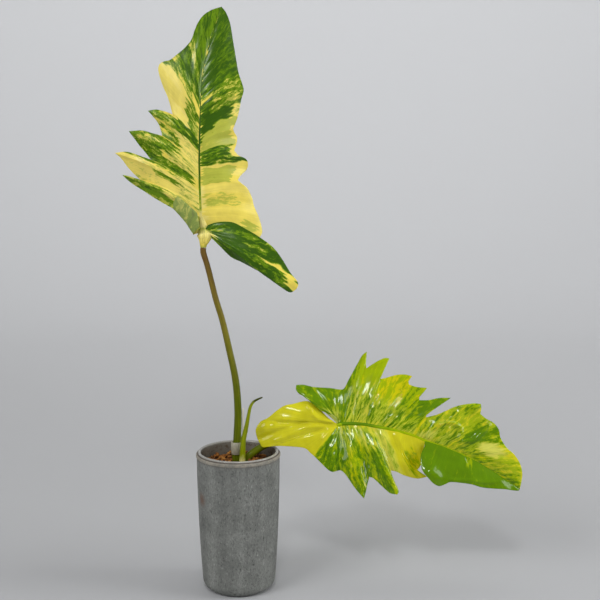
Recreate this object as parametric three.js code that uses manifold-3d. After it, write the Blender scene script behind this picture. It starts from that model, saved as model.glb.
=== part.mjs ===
// A potted variegated climbing aroid: two large lobed leaves and a new shoot
// in a tall round stoneware planter. Millimetres, +Z up, the origin is the
// middle of the planter's flat foot, and -Y is the side that is seen.
import * as THREE from "three";
import { mergeVertices } from "three/addons/utils/BufferGeometryUtils.js";
import Module from "manifold-3d";

const wasm = await Module();
wasm.setup();

// Planter
const POT_HEIGHT = 126.4;
const POT_RIM_RADIUS = 37.5;
const POT_WALL = 4.3;
const POT_FLOOR = 7;
const POT_FOOT_RADIUS = 23.5;
const POT_CORNER = { x: 9.3, y: 9.5 };
const POT_SECTORS = 64;

// Clearance between pieces that touch
const SEAT = 0.3;

// Substrate of bark and pumice chunks
const SOIL_EDGE_HEIGHT = 113.5;
const SOIL_HEAP = 3;
const SOIL_HEAP_WIDTH = 17;
const SOIL_RINGS = 15;
const CHUNK_COUNT = 70;
const CHUNK_RADIUS = [2.6, 5.2];
const CHUNK_RISE = [0.6, 2.6];
const CHUNK_SEED = 41;

// Stem under the surface, and what rises from it
const STEM_TOP = 108;
const STEM_BOTTOM = 62;
const STEM_RADIUS = 5.3;
const STEM_PLACE = [2, -3];

// Blades
const BLADE_THICKNESS = 0.8;
const BLADE_COLUMNS = [0.3, 0.55, 0.8, 1];
const RIB_STEP = 6;
const RIB_MARGIN = 3;

// The upright blade: its attachment in space, how far it leans back, and how
// thick its midrib stands out below at the attachment.
const TALL_BLADE = { place: [-29, 0, 321], lean: 6, ribDepth: 3, camber: -0.05, arch: 0.1 };

// Its midrib from the attachment to the tip: x, depth and height in its plane.
const TALL_RIB = [
  [0, 0, 0], [-2, 0, 9.5], [-2.5, -1, 24], [-3, -2, 46], [-3, -3, 69], [-2.5, -3, 89],
  [-2, -2, 110.5], [-1, 0, 130.5], [2, 3, 151.5], [6.5, 7, 170], [11.5, 11, 185.5], [15.5, 15, 199],
];

// Margins run from the tip round to the notch at the petiole. Each station
// says how far up the midrib its vein leaves, and where it meets the margin.
const TALL_RIGHT = [
  [203, 15.5, 15, 199], [176, 19.5, 15, 193.5], [158, 23, 15, 184], [141, 25.5, 14, 169.5],
  [126, 28, 13, 154.5], [114, 30.5, 12, 140.5], [107, 33.5, 11, 131.5], [102, 35, 11, 125.5],
  [97, 33, 12, 118], [90, 31, 12, 108], [83.5, 28.5, 12, 99.5], [77.5, 25.5, 11, 91.5],
  [75.5, 26.5, 14, 89], [73, 28.5, 18, 85.5], [69, 28, 17, 79], [65, 26.5, 11, 73],
  [62, 30, 13, 69], [59.5, 36, 17, 66.5], [56.5, 38, 20, 63], [52.5, 37, 21, 57.5],
  [48.5, 32, 16, 51.5], [45, 29.5, 12, 47], [41.5, 32.5, 13, 44.5], [37, 37.5, 17, 40.5],
  [30.5, 41.5, 20, 32.5], [24, 43.5, 21, 24.5], [18, 47, 21, 16.5], [13, 49.5, 22, 8.5],
  [9.5, 50.5, 22, 1.5], [7, 48, 20, -4], [5.5, 36, 14, -1], [4, 21, 9, 1.5], [2, 10, 4, 2.5],
  [0, 5, 1, 1.5],
];
const TALL_LEFT = [
  [203, 15.5, 15, 199], [180, 7.5, 13, 196], [160, 0.5, 10, 191], [143, -4.5, 7, 183.5],
  [129, -7.5, 5, 175.5], [118, -10, 3, 167.5], [110, -15.5, 2, 160.5], [104, -22.5, 2, 154.5],
  [99.5, -28.5, 2, 150], [96.5, -33.5, 3, 149], [94, -37.5, 4, 147], [92, -39, 5, 143],
  [89.5, -38, 6, 137], [86.5, -35, 6, 128], [84, -31.5, 5, 120], [81.5, -29, 3, 113],
  [77, -26, 0, 102.5], [75, -32.5, -2, 105], [72.5, -40, -4, 106.5], [70, -47, -3, 105.5],
  [67.5, -43, -1, 101], [64.5, -38.5, 0, 95], [61, -36, 0, 88.5], [57, -35, -1, 84],
  [54.5, -43.5, -3, 86], [51.5, -52.5, -6, 88], [48.5, -63, -6, 87.5], [46.5, -59, -4, 82],
  [44, -54, -2, 75], [41.5, -49, -2, 69], [38.5, -44.5, -3, 63], [36.5, -55.5, -6, 67],
  [34.5, -65, -9, 69.5], [32.5, -74.5, -10, 68.5], [31, -69.5, -8, 64], [29, -64, -6, 56.5],
  [27, -59, -5, 51], [24.5, -52.5, -5, 45], [21, -57.5, -8, 45.8], [18, -63, -10, 48.3],
  [15.5, -68, -11, 49.5], [14.5, -65, -9, 46.5], [13.5, -59.5, -7, 42], [12.5, -50, -6, 36],
  [11, -41, -5, 30], [9.5, -32.5, -5, 25], [8, -24.5, -5, 20.5], [7.3, -22, -5, 18],
  [6.5, -19.5, -5, 15.5], [5, -14.5, -4, 9.5], [3, -11, -3, 4], [0, -8, -1, -1],
];

// The left basal lobe folds forward along the last stations of the left margin
// and lies over the blade. This is its free edge, a point for each of them.
const TALL_FOLD_EDGE = [
  [-24.5, -9, 26.5], [-21, -12, 31.5], [-17.2, -13, 28.9], [-11.4, -12, 23.7], [-4.2, -10, 17.3],
  [-2.2, -7, 4.7],
];
const FOLD_COLUMNS = [0.15, 0.35, 0.65, 1];
const FOLD_REACH = 5;

// The right basal lobe fans out from the petiole in front of the blade.
const TALL_LOBE_ROOT = [1.5, -2, 2.5];
const TALL_LOBE = [
  [0, 4.5, -1.5, 7], [0, 10.5, -1, 9], [0, 19, 0, 10], [0, 27, 1, 9], [0, 36.5, 2, 4],
  [0, 48.5, 3, -3], [0, 60, 3, -11.5], [0, 68, 3, -21.5], [0, 76.5, 2, -35], [0, 82, 1, -42],
  [0, 82.5, 0, -46], [0, 80, 0, -49.5], [0, 76, 0, -51.5], [0, 72, 0, -49.5], [0, 67, 0, -46],
  [0, 56.5, 1, -37], [0, 45, 2, -31], [0, 33, 3, -25], [0, 25, 4, -21.5], [0, 19.5, 3, -16.5],
  [0, 13.5, 1, -8], [0, 7, -1, -1],
];

// The flattened collar where petiole, midrib and basal lobes meet: place and
// half of its width.
const TALL_NECK = [
  [0.2, 0, -12.5, 2.6], [0.3, -0.3, -9.5, 3.6], [1.2, -0.5, -5.5, 5.6], [1.3, -0.6, -2.5, 6],
  [0.8, -0.6, 0.5, 5.6], [0.6, -0.6, 4.5, 3.8], [-0.4, -0.6, 9, 2.8], [-1.8, -0.4, 14, 1.6],
];
const TALL_NECK_FLATNESS = 0.6;

// The low blade, held out to the right.
const LOW_BLADE = { place: [90, 10, 147.5], lean: 20, ribDepth: 2.6, camber: -0.05, arch: 0 };
const LOW_RIB = [
  [0, 0, 0], [7.5, -1, 0.5], [21, -2, 0], [35.5, -3, -2.5], [49, -3, -5], [66, -2, -9.5],
  [80, -1, -15], [94, 0, -19.5], [114.5, 2, -28], [128, 3, -35], [145, 5, -45.5], [162.5, 7, -57],
];
const LOW_UPPER = [
  [175, 162.5, 7, -57], [160, 164.5, 6, -49], [148, 165, 5, -42], [136, 163, 4, -34],
  [126, 158, 3, -26.5], [118, 151, 2, -20], [111, 146, 1, -11.5], [106, 144.5, 0, -4],
  [102, 140, 0, 1.5], [98.5, 133.5, 0, 5.5], [95, 128.5, -1, 9.5], [91.5, 129.5, -1, 14.5],
  [88, 129, -2, 18.5], [85, 122.5, -2, 19], [81, 112.5, -2, 17.5], [77, 101, -1, 14],
  [73, 89, -1, 9], [69.5, 79, -1, 6.5], [66, 81.5, -1, 14], [63, 86.5, -1, 17], [60, 95, -1, 20.5],
  [57, 102, 0, 24], [54.5, 91.5, 0, 24], [52, 81.5, -1, 22], [49, 73.5, -1, 22], [47, 74, 0, 26.5],
  [45, 77.5, 1, 29], [42.5, 81, 2, 33.5], [40, 71, 1, 34.5], [37, 64.5, 0, 36.5],
  [35, 64.5, 2, 40.5], [32.5, 68, 4, 44.5], [30, 61.5, 4, 46], [27, 53, 3, 45.5],
  [25, 44.5, 2, 43], [22.5, 38.5, 1, 41.5], [21.5, 40.5, 2, 49], [19.5, 44, 4, 55.5],
  [18, 47.5, 5, 61], [15.5, 43.5, 5, 61.5], [14, 38.5, 4, 59.5], [12, 31, 3, 55],
  [10.5, 26, 2, 51.5], [8.5, 26, 4, 56.5], [6.5, 26.5, 5, 62.5], [5.5, 27, 6, 67.5],
  [4.5, 23, 6, 64.5], [3.5, 19, 6, 58], [2.5, 14, 5, 48.5], [1.5, 9.5, 4, 40], [1, 5.5, 3, 33],
  [0, 2, 3, 32], [0, -6.5, 4, 33.5], [0, -14.5, 3, 34], [0, -23, 2, 34.5], [0, -32, 0, 36],
  [0, -38, -2, 35.5], [-1, -38.5, -3, 32], [-2, -37, -3.5, 29], [-3, -33, -4, 27],
];
const LOW_LOWER = [
  [175, 162.5, 7, -57], [169, 161.5, 6, -58.5], [161, 157, 5, -58.5], [151.5, 148.5, 2, -57.5],
  [142, 138, 0, -57], [133, 127, -2, -56], [125.5, 118, -4, -53.5], [118.5, 107.5, -4, -52],
  [113, 98.5, -5, -51.5], [108, 93.5, -6, -53.5], [104, 88.5, -7, -55], [100, 83.5, -8, -53],
  [96, 78.5, -9, -48], [91.5, 74, -9, -42], [88, 72.5, -8, -35], [84, 73, -6, -27.5],
  [82, 76.5, -3, -21], [80, 77.5, -1, -17], [74.5, 76, 2, -24.5], [70, 75, 3, -32],
  [66.5, 73.5, 4, -37], [64.5, 70.5, 4, -40.5], [62, 72.5, 4, -43.8], [59.5, 78.5, 4, -46.5],
  [54, 71, 3, -48], [48, 64.5, 2, -47], [44, 57.5, 0, -45], [39, 51, -1, -42],
  [35.5, 46.5, -1, -41], [30, 47.5, -2, -47], [27, 50, -4, -53], [25, 52.5, -7, -60], [23, 51, -8, -62.5],
  [20.5, 44.5, -7, -61], [18, 38, -5, -55], [15.5, 31, -3, -48], [14, 27, -2, -46.5],
  [10.5, 24.5, -4, -55], [9, 23.5, -5, -61], [6.5, 22, -6, -66], [5, 18, -6, -61.5],
  [3.5, 13, -5, -55], [2.5, 9, -4, -49], [1.5, 5, -3, -43.5], [0.5, 1.5, -2, -41],
  [0, -1.5, -2, -41.5], [0, -5.5, -3, -42.5], [0, -9, -3, -41], [0, -13.5, -3, -37],
  [0, -19.5, -3, -31], [0, -25, -3, -26], [0, -30.5, -3, -21.5], [0, -42, -3, -20],
  [0, -52.5, -3, -19.5], [0, -61.5, -3, -20], [0, -68, -2, -20.5], [0, -70.5, -2, -17.5],
  [0, -73.5, -2, -11.5], [0, -74.5, -3, -5], [0, -72.5, -3, -0.5], [0, -69, -3, 3],
  [0, -63, -4, 6], [0, -56.5, -4, 11.5], [0, -49, -4, 16.5], [0, -40.5, -3, 18.5],
  [-1, -35.5, -2, 20], [-2, -31, -1.5, 21], [-3, -27.2, -1, 21], [-4, -24, -1, 19.5],
];

// Edges of the notch beside the petiole, where the strips numbered -1, -2 and
// so on start instead of on the midrib.
const LOW_UPPER_NOTCH = [[-2.4, -2, 5.6], [-6.8, -3, 6.6], [-17, -3.5, 12.4]];
const LOW_LOWER_NOTCH = [[-3.1, -0.3, 1], [-7.2, 0, 4.7], [-14, 0.3, 10.8], [-19.6, 0.5, 16]];
const LOW_NECK = [[-5, 3.6, -3, 2.7], [-2, 2, -1, 2.6], [2, 0.6, 0, 2.2], [8, 0, 0.3, 1.3]];

// Stalks, each as places in space with a radius: x, y, z, radius.
const TALL_PETIOLE = [
  [-2.6, 0, STEM_TOP + SEAT, 3.5], [-2.1, 1, 119, 3.6], [-1.55, 1.5, 128.5, 3.6], [-0.8, 2.2, 140, 3.5],
  [-0.2, 4, 162.5, 3.3], [-2.2, 5, 189.5, 3.1], [-7.6, 6, 216.5, 2.9], [-13.6, 5, 244, 2.7],
  [-19, 4, 263, 2.6], [-25.3, 2, 290.5, 2.5],
];
const LOW_PETIOLE = [
  [7.8, 0.8, STEM_TOP + SEAT, 3.1], [7.6, 0.6, 116, 3.2], [9.2, 1.4, 120.5, 3.2], [13, 3.4, 123.4, 3.3],
  [19, 6, 126.8, 3.2], [32.5, 9, 132.4, 3], [55.5, 11.5, 138.5, 2.8], [73, 13, 141.3, 2.7],
];
const SHOOT = [
  [3.2, -4.8, STEM_TOP + SEAT, 2.5], [3.9, -5.4, 118, 2.7], [4.3, -5.2, 128, 2.6], [5, -5, 137.5, 2.4],
  [7, -5, 146, 2.1], [8.5, -5, 153.5, 1.8], [9.7, -4, 160, 1.6], [11.3, -3, 167, 1.4],
  [14, -2, 171.3, 1.2], [17.5, -1, 173.3, 1.0], [22, 0, 175, 0.6],
];
const STICK = [[3.9, 3.2, 84, 0.6], [4.4, 3.2, 164.5, 0.6]];

// Clip round the tall petiole and the stick
const CLIP_BOTTOM = 123;
const CLIP_HEIGHT = 11;
const CLIP_WALL = 0.7;
const CLIP_PETIOLE_HOLE = 4.3;
const CLIP_STICK_HOLE = 1.2;

const vec = (point) => new THREE.Vector3(point[0], point[1], point[2]);
const lerp = THREE.MathUtils.lerp;
const degToRad = THREE.MathUtils.degToRad;

// A repeatable stream of numbers from 0 to 1.
function seededRandom(seed) {
  let state = seed;
  return () => {
    state = (state * 16807) % 2147483647;
    return state / 2147483647;
  };
}

function finish(name, geometry, color, roughness, metalness = 0) {
  const material = new THREE.MeshStandardMaterial({ color, roughness, metalness });
  const mesh = new THREE.Mesh(geometry, material);
  mesh.name = name;
  return mesh;
}

function geometryFrom(positions, triangles) {
  const geometry = new THREE.BufferGeometry();
  geometry.setAttribute("position", new THREE.Float32BufferAttribute(positions, 3));
  geometry.setIndex(triangles);
  return geometry;
}

function toSolid(geometry) {
  const bare = geometry.clone();
  bare.deleteAttribute("normal");
  bare.deleteAttribute("uv");
  const merged = mergeVertices(bare, 1e-4);
  return new wasm.Manifold(new wasm.Mesh({
    numProp: 3,
    vertProperties: new Float32Array(merged.attributes.position.array),
    triVerts: new Uint32Array(merged.index.array),
  }));
}

function fromSolid(solid) {
  const mesh = solid.getMesh();
  return geometryFrom(Array.from(mesh.vertProperties), Array.from(mesh.triVerts));
}

// A round rod along a smooth path whose points also carry a radius.
function rod(points, sides, steps, extra = 0) {
  const path = new THREE.CatmullRomCurve3(points.map(vec), false, "centripetal");
  const frames = path.computeFrenetFrames(steps);
  const positions = [];
  const triangles = [];
  for (let i = 0; i <= steps; i++) {
    const centre = path.getPointAt(i / steps);
    const along = path.getUtoTmapping(i / steps) * (points.length - 1);
    const before = Math.min(Math.floor(along), points.length - 2);
    const radius = extra + lerp(points[before][3], points[before + 1][3], along - before);
    for (let k = 0; k < sides; k++) {
      const turn = (k / sides) * 2 * Math.PI;
      const place = centre.clone()
        .addScaledVector(frames.normals[i], radius * Math.cos(turn))
        .addScaledVector(frames.binormals[i], radius * Math.sin(turn));
      positions.push(place.x, place.y, place.z);
    }
  }
  for (let i = 0; i < steps; i++) {
    for (let k = 0; k < sides; k++) {
      const a = i * sides + k;
      const b = i * sides + (k + 1) % sides;
      triangles.push(a, b, b + sides, a, b + sides, a + sides);
    }
  }
  const last = steps * sides;
  for (let k = 1; k < sides - 1; k++) {
    triangles.push(0, k + 1, k, last, last + k, last + k + 1);
  }
  return geometryFrom(positions, triangles);
}

// What a stalk's hole in the substrate takes away: the stalk a little larger
// and reaching further down, so that it opens into the stem's own hole.
function hole(points, sides, steps) {
  const [x, y, z, radius] = points[0];
  const [endX, endY, endZ, endRadius] = points[points.length - 1];
  const longer = [
    [x, y, z - 2 * SEAT, radius], ...points.slice(1, -1), [endX, endY, endZ + SEAT, endRadius],
  ];
  return rod(longer, sides, steps, SEAT + 0.1);
}

// Planter: outer wall from the foot up, a bead, a groove and the thin lip above
// them, and the inner wall down to the floor.
function potInnerRadius(height) {
  const taper = lerp(30.6, POT_RIM_RADIUS - POT_WALL, height / POT_HEIGHT);
  const corner = Math.max(0, POT_FLOOR + 12 - height) / 12;
  return taper - 8 * corner * corner;
}

function potOuterProfile() {
  const { x: reach, y: rise } = POT_CORNER;
  const foot = new THREE.EllipseCurve(POT_FOOT_RADIUS, rise, reach, rise, -Math.PI / 2, 0);
  const corner = foot.getPoints(7).map((p) => new THREE.Vector2(p.x, p.y));
  return [
    new THREE.Vector2(0, 0),
    ...corner,
    new THREE.Vector2(34, 26),
    new THREE.Vector2(35.3, 50),
    new THREE.Vector2(36.3, 78),
    new THREE.Vector2(36.9, 100),
    new THREE.Vector2(37.2, 121.5),
    new THREE.Vector2(37.8, 122.4),
    new THREE.Vector2(37.8, 123.7),
    new THREE.Vector2(37.1, 124.9),
    new THREE.Vector2(36, 124.8),
    new THREE.Vector2(35.7, 125.8),
    new THREE.Vector2(34.9, POT_HEIGHT),
    new THREE.Vector2(34, POT_HEIGHT),
    new THREE.Vector2(33.4, 125.6),
  ];
}

const POT_INNER_HEIGHTS = [124, 112, 80, 50, POT_FLOOR + 12, POT_FLOOR + 6, POT_FLOOR];

function makePot() {
  const inner = POT_INNER_HEIGHTS.map((z) => new THREE.Vector2(potInnerRadius(z), z));
  const profile = [...potOuterProfile(), ...inner, new THREE.Vector2(0, POT_FLOOR)];
  const geometry = new THREE.LatheGeometry(profile, POT_SECTORS);
  geometry.rotateX(Math.PI / 2);
  return finish("pot", geometry, 0x6b6b69, 0.85);
}

// Height of the substrate's surface: a low heap covered with rounded chunks.
function soilSurface() {
  const random = seededRandom(CHUNK_SEED);
  const chunks = [];
  for (let i = 0; i < CHUNK_COUNT; i++) {
    const turn = random() * 2 * Math.PI;
    const away = 31 * Math.sqrt(random());
    chunks.push({
      x: away * Math.cos(turn),
      y: away * Math.sin(turn),
      radius: lerp(CHUNK_RADIUS[0], CHUNK_RADIUS[1], random()),
      rise: lerp(CHUNK_RISE[0], CHUNK_RISE[1], random()),
    });
  }
  return (x, y) => {
    const heap = SOIL_HEAP * Math.exp(-(x * x + y * y) / SOIL_HEAP_WIDTH ** 2);
    let bump = 0;
    for (const chunk of chunks) {
      const away = Math.hypot(x - chunk.x, y - chunk.y) / chunk.radius;
      bump = Math.max(bump, chunk.rise * Math.sqrt(Math.max(0, 1 - away * away)));
    }
    return SOIL_EDGE_HEIGHT + heap + bump - 1.2;
  };
}

// The substrate fills the planter; its rings follow the planter's inner wall.
function makeSubstrate(stalks) {
  const surface = soilSurface();
  const heights = POT_INNER_HEIGHTS.slice(1).reverse();
  const rings = heights.map((z, i) => ({ radius: potInnerRadius(z) - SEAT, z: z + (i === 0 ? SEAT : 0) }));
  const positions = [0, 0, rings[0].z];
  for (const ring of rings) {
    for (let k = 0; k < POT_SECTORS; k++) {
      const turn = (k / POT_SECTORS) * 2 * Math.PI;
      positions.push(ring.radius * Math.sin(turn), ring.radius * Math.cos(turn), ring.z);
    }
  }
  const edge = rings[rings.length - 1].radius;
  for (let i = 0; i < SOIL_RINGS; i++) {
    const radius = edge * Math.sqrt(1 - i / SOIL_RINGS);
    for (let k = 0; k < POT_SECTORS; k++) {
      const turn = (k / POT_SECTORS) * 2 * Math.PI;
      const x = radius * Math.sin(turn);
      const y = radius * Math.cos(turn);
      positions.push(x, y, surface(x, y));
    }
  }
  positions.push(0, 0, surface(0, 0));
  const loops = rings.length + SOIL_RINGS;
  const top = 1 + loops * POT_SECTORS;
  const triangles = [];
  for (let k = 0; k < POT_SECTORS; k++) {
    const next = (k + 1) % POT_SECTORS;
    triangles.push(0, 1 + k, 1 + next);
    for (let i = 0; i < loops - 1; i++) {
      const low = 1 + i * POT_SECTORS;
      const high = low + POT_SECTORS;
      triangles.push(low + k, high + k, high + next, low + k, high + next, low + next);
    }
    const last = 1 + (loops - 1) * POT_SECTORS;
    triangles.push(last + k, top, last + next);
  }
  let solid = toSolid(geometryFrom(positions, triangles));
  for (const stalk of stalks) {
    solid = solid.subtract(toSolid(stalk));
  }
  return finish("substrate", fromSolid(solid), 0x8a4a20, 0.95);
}

// A blade is a mid-surface of strips, one for each vein, that leave the midrib
// and end on the margin. Camber bulges each half forward, and arch bows its
// veins towards the tip. The surface is then given its thickness both ways.
class BladeSurface {
  constructor(rib, { camber, arch }) {
    this.camber = camber;
    this.arch = arch;
    this.positions = [];
    this.faces = [];
    this.index = new Map();
    this.ribVertices = [];
    if (rib.length > 1) {
      this.path = new THREE.CatmullRomCurve3(rib.map(vec), false, "centripetal");
      this.length = this.path.getLength();
    } else {
      this.root = vec(rib[0]);
      this.length = 0;
    }
    const count = Math.max(1, Math.round(this.length / RIB_STEP));
    for (let i = 0; i <= (this.length ? count : 0); i++) {
      const along = (this.length * i) / count;
      this.ribVertices.push({ along, id: this.vertex(this.ribPoint(along)) });
    }
  }

  ribPoint(along) {
    if (!this.length) return this.root.clone();
    return this.path.getPointAt(Math.min(1, along / this.length));
  }

  vertex(point) {
    const key = point.toArray().map((v) => Math.round(v * 1000)).join();
    if (!this.index.has(key)) {
      this.index.set(key, this.positions.length);
      this.positions.push(point.clone());
    }
    return this.index.get(key);
  }

  face(a, b, c, flip) {
    if (a === b || b === c || c === a) return;
    this.faces.push(flip ? [a, c, b] : [a, b, c]);
  }

  ribDirection(along) {
    if (!this.length) return new THREE.Vector3();
    return this.path.getTangentAt(Math.min(1, along / this.length));
  }

  stripPoint(root, direction, margin, r) {
    const bow = root.distanceTo(margin) * r * (1 - r);
    const point = root.clone().lerp(margin, r).addScaledVector(direction, 2 * this.arch * bow);
    point.y += 4 * this.camber * bow;
    return point;
  }

  side(stations, flip, notch = []) {
    const columns = stations.map(([along, x, y, z]) => {
      const root = along < 0 ? vec(notch[-along - 1]) : this.ribPoint(along);
      const direction = this.ribDirection(Math.max(0, along));
      const margin = new THREE.Vector3(x, y, z);
      const first = Math.min(0.2, RIB_MARGIN / Math.max(root.distanceTo(margin), 1e-6));
      return {
        along: Math.min(along, this.length),
        root: along > 0 ? undefined : this.vertex(root),
        ids: [first, ...BLADE_COLUMNS].map((r) => this.vertex(this.stripPoint(root, direction, margin, r))),
      };
    });
    for (let i = 0; i < columns.length - 1; i++) {
      const a = columns[i].ids;
      const b = columns[i + 1].ids;
      for (let k = 0; k < a.length - 1; k++) {
        this.face(a[k], b[k], b[k + 1], flip);
        this.face(a[k], b[k + 1], a[k + 1], flip);
      }
    }
    const onRib = columns.filter(({ along }) => along >= 0);
    this.zip(onRib, flip);
    for (let i = onRib.length - 1; i < columns.length - 1; i++) {
      const { root, ids } = columns[i];
      const next = columns[i + 1];
      this.face(root, next.root, next.ids[0], flip);
      this.face(root, next.ids[0], ids[0], flip);
    }
    return columns;
  }

  // Joins the midrib's own vertices to the strips' first column.
  zip(columns, flip) {
    let rib = this.ribVertices.length - 1;
    let strip = 0;
    while (rib > 0 || strip < columns.length - 1) {
      const nextRib = rib > 0 ? this.ribVertices[rib - 1].along : -1;
      const nextStrip = strip < columns.length - 1 ? columns[strip + 1].along : -1;
      const here = this.ribVertices[rib].id;
      if (nextStrip >= nextRib && strip < columns.length - 1) {
        this.face(here, columns[strip + 1].ids[0], columns[strip].ids[0], flip);
        strip++;
      } else {
        this.face(here, this.ribVertices[rib - 1].id, columns[strip].ids[0], flip);
        rib--;
      }
    }
  }

  // Carries the surface on from the margin, round a fold, to a free edge.
  fold(columns, edge, flip) {
    const rows = columns.map((column, i) => {
      const start = this.positions[column.ids[column.ids.length - 1]];
      const end = vec(edge[i]);
      const turn = start.clone().lerp(end, -0.12);
      turn.y = start.y - FOLD_REACH;
      const bend = new THREE.QuadraticBezierCurve3(start, turn, end);
      return [column.ids[column.ids.length - 1], ...FOLD_COLUMNS.map((r) => this.vertex(bend.getPoint(r)))];
    });
    for (let i = 0; i < rows.length - 1; i++) {
      for (let k = 0; k < rows[i].length - 1; k++) {
        this.face(rows[i][k], rows[i + 1][k], rows[i + 1][k + 1], flip);
        this.face(rows[i][k], rows[i + 1][k + 1], rows[i][k + 1], flip);
      }
    }
  }

  normals() {
    const normals = this.positions.map(() => new THREE.Vector3());
    for (const [a, b, c] of this.faces) {
      const ab = this.positions[b].clone().sub(this.positions[a]);
      const ac = this.positions[c].clone().sub(this.positions[a]);
      const area = ab.cross(ac);
      for (const id of [a, b, c]) normals[id].add(area);
    }
    return normals.map((normal) => normal.normalize());
  }

  // The midrib stands out below by ribDepth at the petiole and fades to the tip.
  thicken(ribDepth) {
    const normals = this.normals();
    const depth = new Map(this.ribVertices.map(({ along, id }) => {
      const fade = this.length ? 1 - along / this.length : 0;
      return [id, lerp(BLADE_THICKNESS / 2, ribDepth, fade)];
    }));
    const count = this.positions.length;
    const positions = [];
    for (let i = 0; i < count; i++) {
      const place = this.positions[i].clone().addScaledVector(normals[i], BLADE_THICKNESS / 2);
      positions.push(...place.toArray());
    }
    for (let i = 0; i < count; i++) {
      const down = depth.get(i) ?? BLADE_THICKNESS / 2;
      positions.push(...this.positions[i].clone().addScaledVector(normals[i], -down).toArray());
    }
    const triangles = [];
    const open = new Map();
    for (const [a, b, c] of this.faces) {
      triangles.push(a, b, c, a + count, c + count, b + count);
      for (const [p, q] of [[a, b], [b, c], [c, a]]) {
        if (!open.delete(`${q},${p}`)) open.set(`${p},${q}`, [p, q]);
      }
    }
    for (const [p, q] of open.values()) {
      triangles.push(p, p + count, q + count, p, q + count, q);
    }
    return geometryFrom(positions, triangles);
  }
}

function placeBlade(mesh, blade) {
  mesh.position.set(...blade.place);
  mesh.rotation.x = -degToRad(blade.lean);
  mesh.updateMatrixWorld(true);
  return mesh;
}

function makeTallBlade() {
  const main = new BladeSurface(TALL_RIB, TALL_BLADE);
  main.side(TALL_RIGHT, false);
  const left = main.side(TALL_LEFT, true);
  main.fold(left.slice(-TALL_FOLD_EDGE.length), TALL_FOLD_EDGE, true);
  const lobe = new BladeSurface([TALL_LOBE_ROOT], TALL_BLADE);
  lobe.side(TALL_LOBE, false);
  const solid = toSolid(main.thicken(TALL_BLADE.ribDepth))
    .add(toSolid(lobe.thicken(BLADE_THICKNESS)))
    .add(toSolid(rod(TALL_NECK, 12, 10).scale(1, TALL_NECK_FLATNESS, 1)));
  return placeBlade(finish("blade_tall", fromSolid(solid), 0x5d8a2a, 0.35), TALL_BLADE);
}

function makeLowBlade() {
  const main = new BladeSurface(LOW_RIB, LOW_BLADE);
  main.side(LOW_UPPER, true, LOW_UPPER_NOTCH);
  main.side(LOW_LOWER, false, LOW_LOWER_NOTCH);
  const solid = toSolid(main.thicken(LOW_BLADE.ribDepth)).add(toSolid(rod(LOW_NECK, 10, 8)));
  return placeBlade(finish("blade_low", fromSolid(solid), 0xa5b52a, 0.3), LOW_BLADE);
}

// Ends a stalk square against the neck of its blade.
function petioleTo(points, bladeMesh, neck) {
  const start = bladeMesh.localToWorld(vec(neck[0]));
  const along = bladeMesh.localToWorld(vec(neck[1])).sub(start).normalize();
  const end = start.clone().addScaledVector(along, -SEAT);
  const before = start.clone().addScaledVector(along, -4);
  const radius = neck[0][3];
  return [...points, [...before.toArray(), radius], [...end.toArray(), radius]];
}

// Outline round two circles, as a tight band lies round two stalks.
function bandOutline(Outline, reach, big, small) {
  const tangent = Math.acos((big - small) / reach);
  const outline = new Outline();
  outline.absarc(0, 0, big, tangent, 2 * Math.PI - tangent, false);
  outline.absarc(reach, 0, small, -tangent, tangent, false);
  return outline;
}

function makeClip(petiole, stick) {
  const across = new THREE.Vector2(stick.x - petiole.x, stick.y - petiole.y);
  const outer = bandOutline(
    THREE.Shape, across.length(), CLIP_PETIOLE_HOLE + CLIP_WALL, CLIP_STICK_HOLE + CLIP_WALL);
  outer.holes.push(bandOutline(THREE.Path, across.length(), CLIP_PETIOLE_HOLE, CLIP_STICK_HOLE));
  const geometry = new THREE.ExtrudeGeometry(outer, {
    depth: CLIP_HEIGHT,
    bevelEnabled: false,
    curveSegments: 14,
  });
  geometry.rotateZ(across.angle());
  geometry.translate(petiole.x, petiole.y, CLIP_BOTTOM);
  return finish("clip", geometry, 0xb9b09a, 0.5);
}

const plant = new THREE.Group();
const bladeTall = makeTallBlade();
const bladeLow = makeLowBlade();
const tallPetiole = petioleTo(TALL_PETIOLE, bladeTall, TALL_NECK);
const lowPetiole = petioleTo(LOW_PETIOLE, bladeLow, LOW_NECK);
const stem = [[...STEM_PLACE, STEM_BOTTOM, STEM_RADIUS], [...STEM_PLACE, STEM_TOP, STEM_RADIUS]];
const clipMiddle = CLIP_BOTTOM + CLIP_HEIGHT / 2;
const petioleInClip = new THREE.Vector3(-1.55, 1.5, clipMiddle);
const stickInClip = new THREE.Vector3(4.15, 3.2, clipMiddle);

plant.add(makePot());
plant.add(makeSubstrate([
  hole(stem, 16, 2),
  hole(tallPetiole.slice(0, 4), 12, 8),
  hole(lowPetiole.slice(0, 4), 12, 8),
  hole(SHOOT.slice(0, 4), 12, 8),
  hole(STICK, 8, 2),
]));
plant.add(finish("stem", rod(stem, 16, 2), 0x6a6a2c, 0.7));
plant.add(finish("petiole_tall", rod(tallPetiole, 12, 40), 0x5e5a1e, 0.5));
plant.add(finish("petiole_low", rod(lowPetiole, 12, 26), 0x5c7a14, 0.5));
plant.add(finish("new_shoot", rod(SHOOT, 10, 24), 0x6f8f14, 0.5));
plant.add(finish("stick", rod(STICK, 8, 4), 0xcfc9b2, 0.6));
plant.add(makeClip(petioleInClip, stickInClip));
plant.add(bladeTall);
plant.add(bladeLow);

export default plant;
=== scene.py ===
# Looks of a potted climbing aroid with two large variegated leaves.
import math
import random

import bmesh
import bpy
import numpy as np
from mathutils import Matrix, Vector, noise


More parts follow.
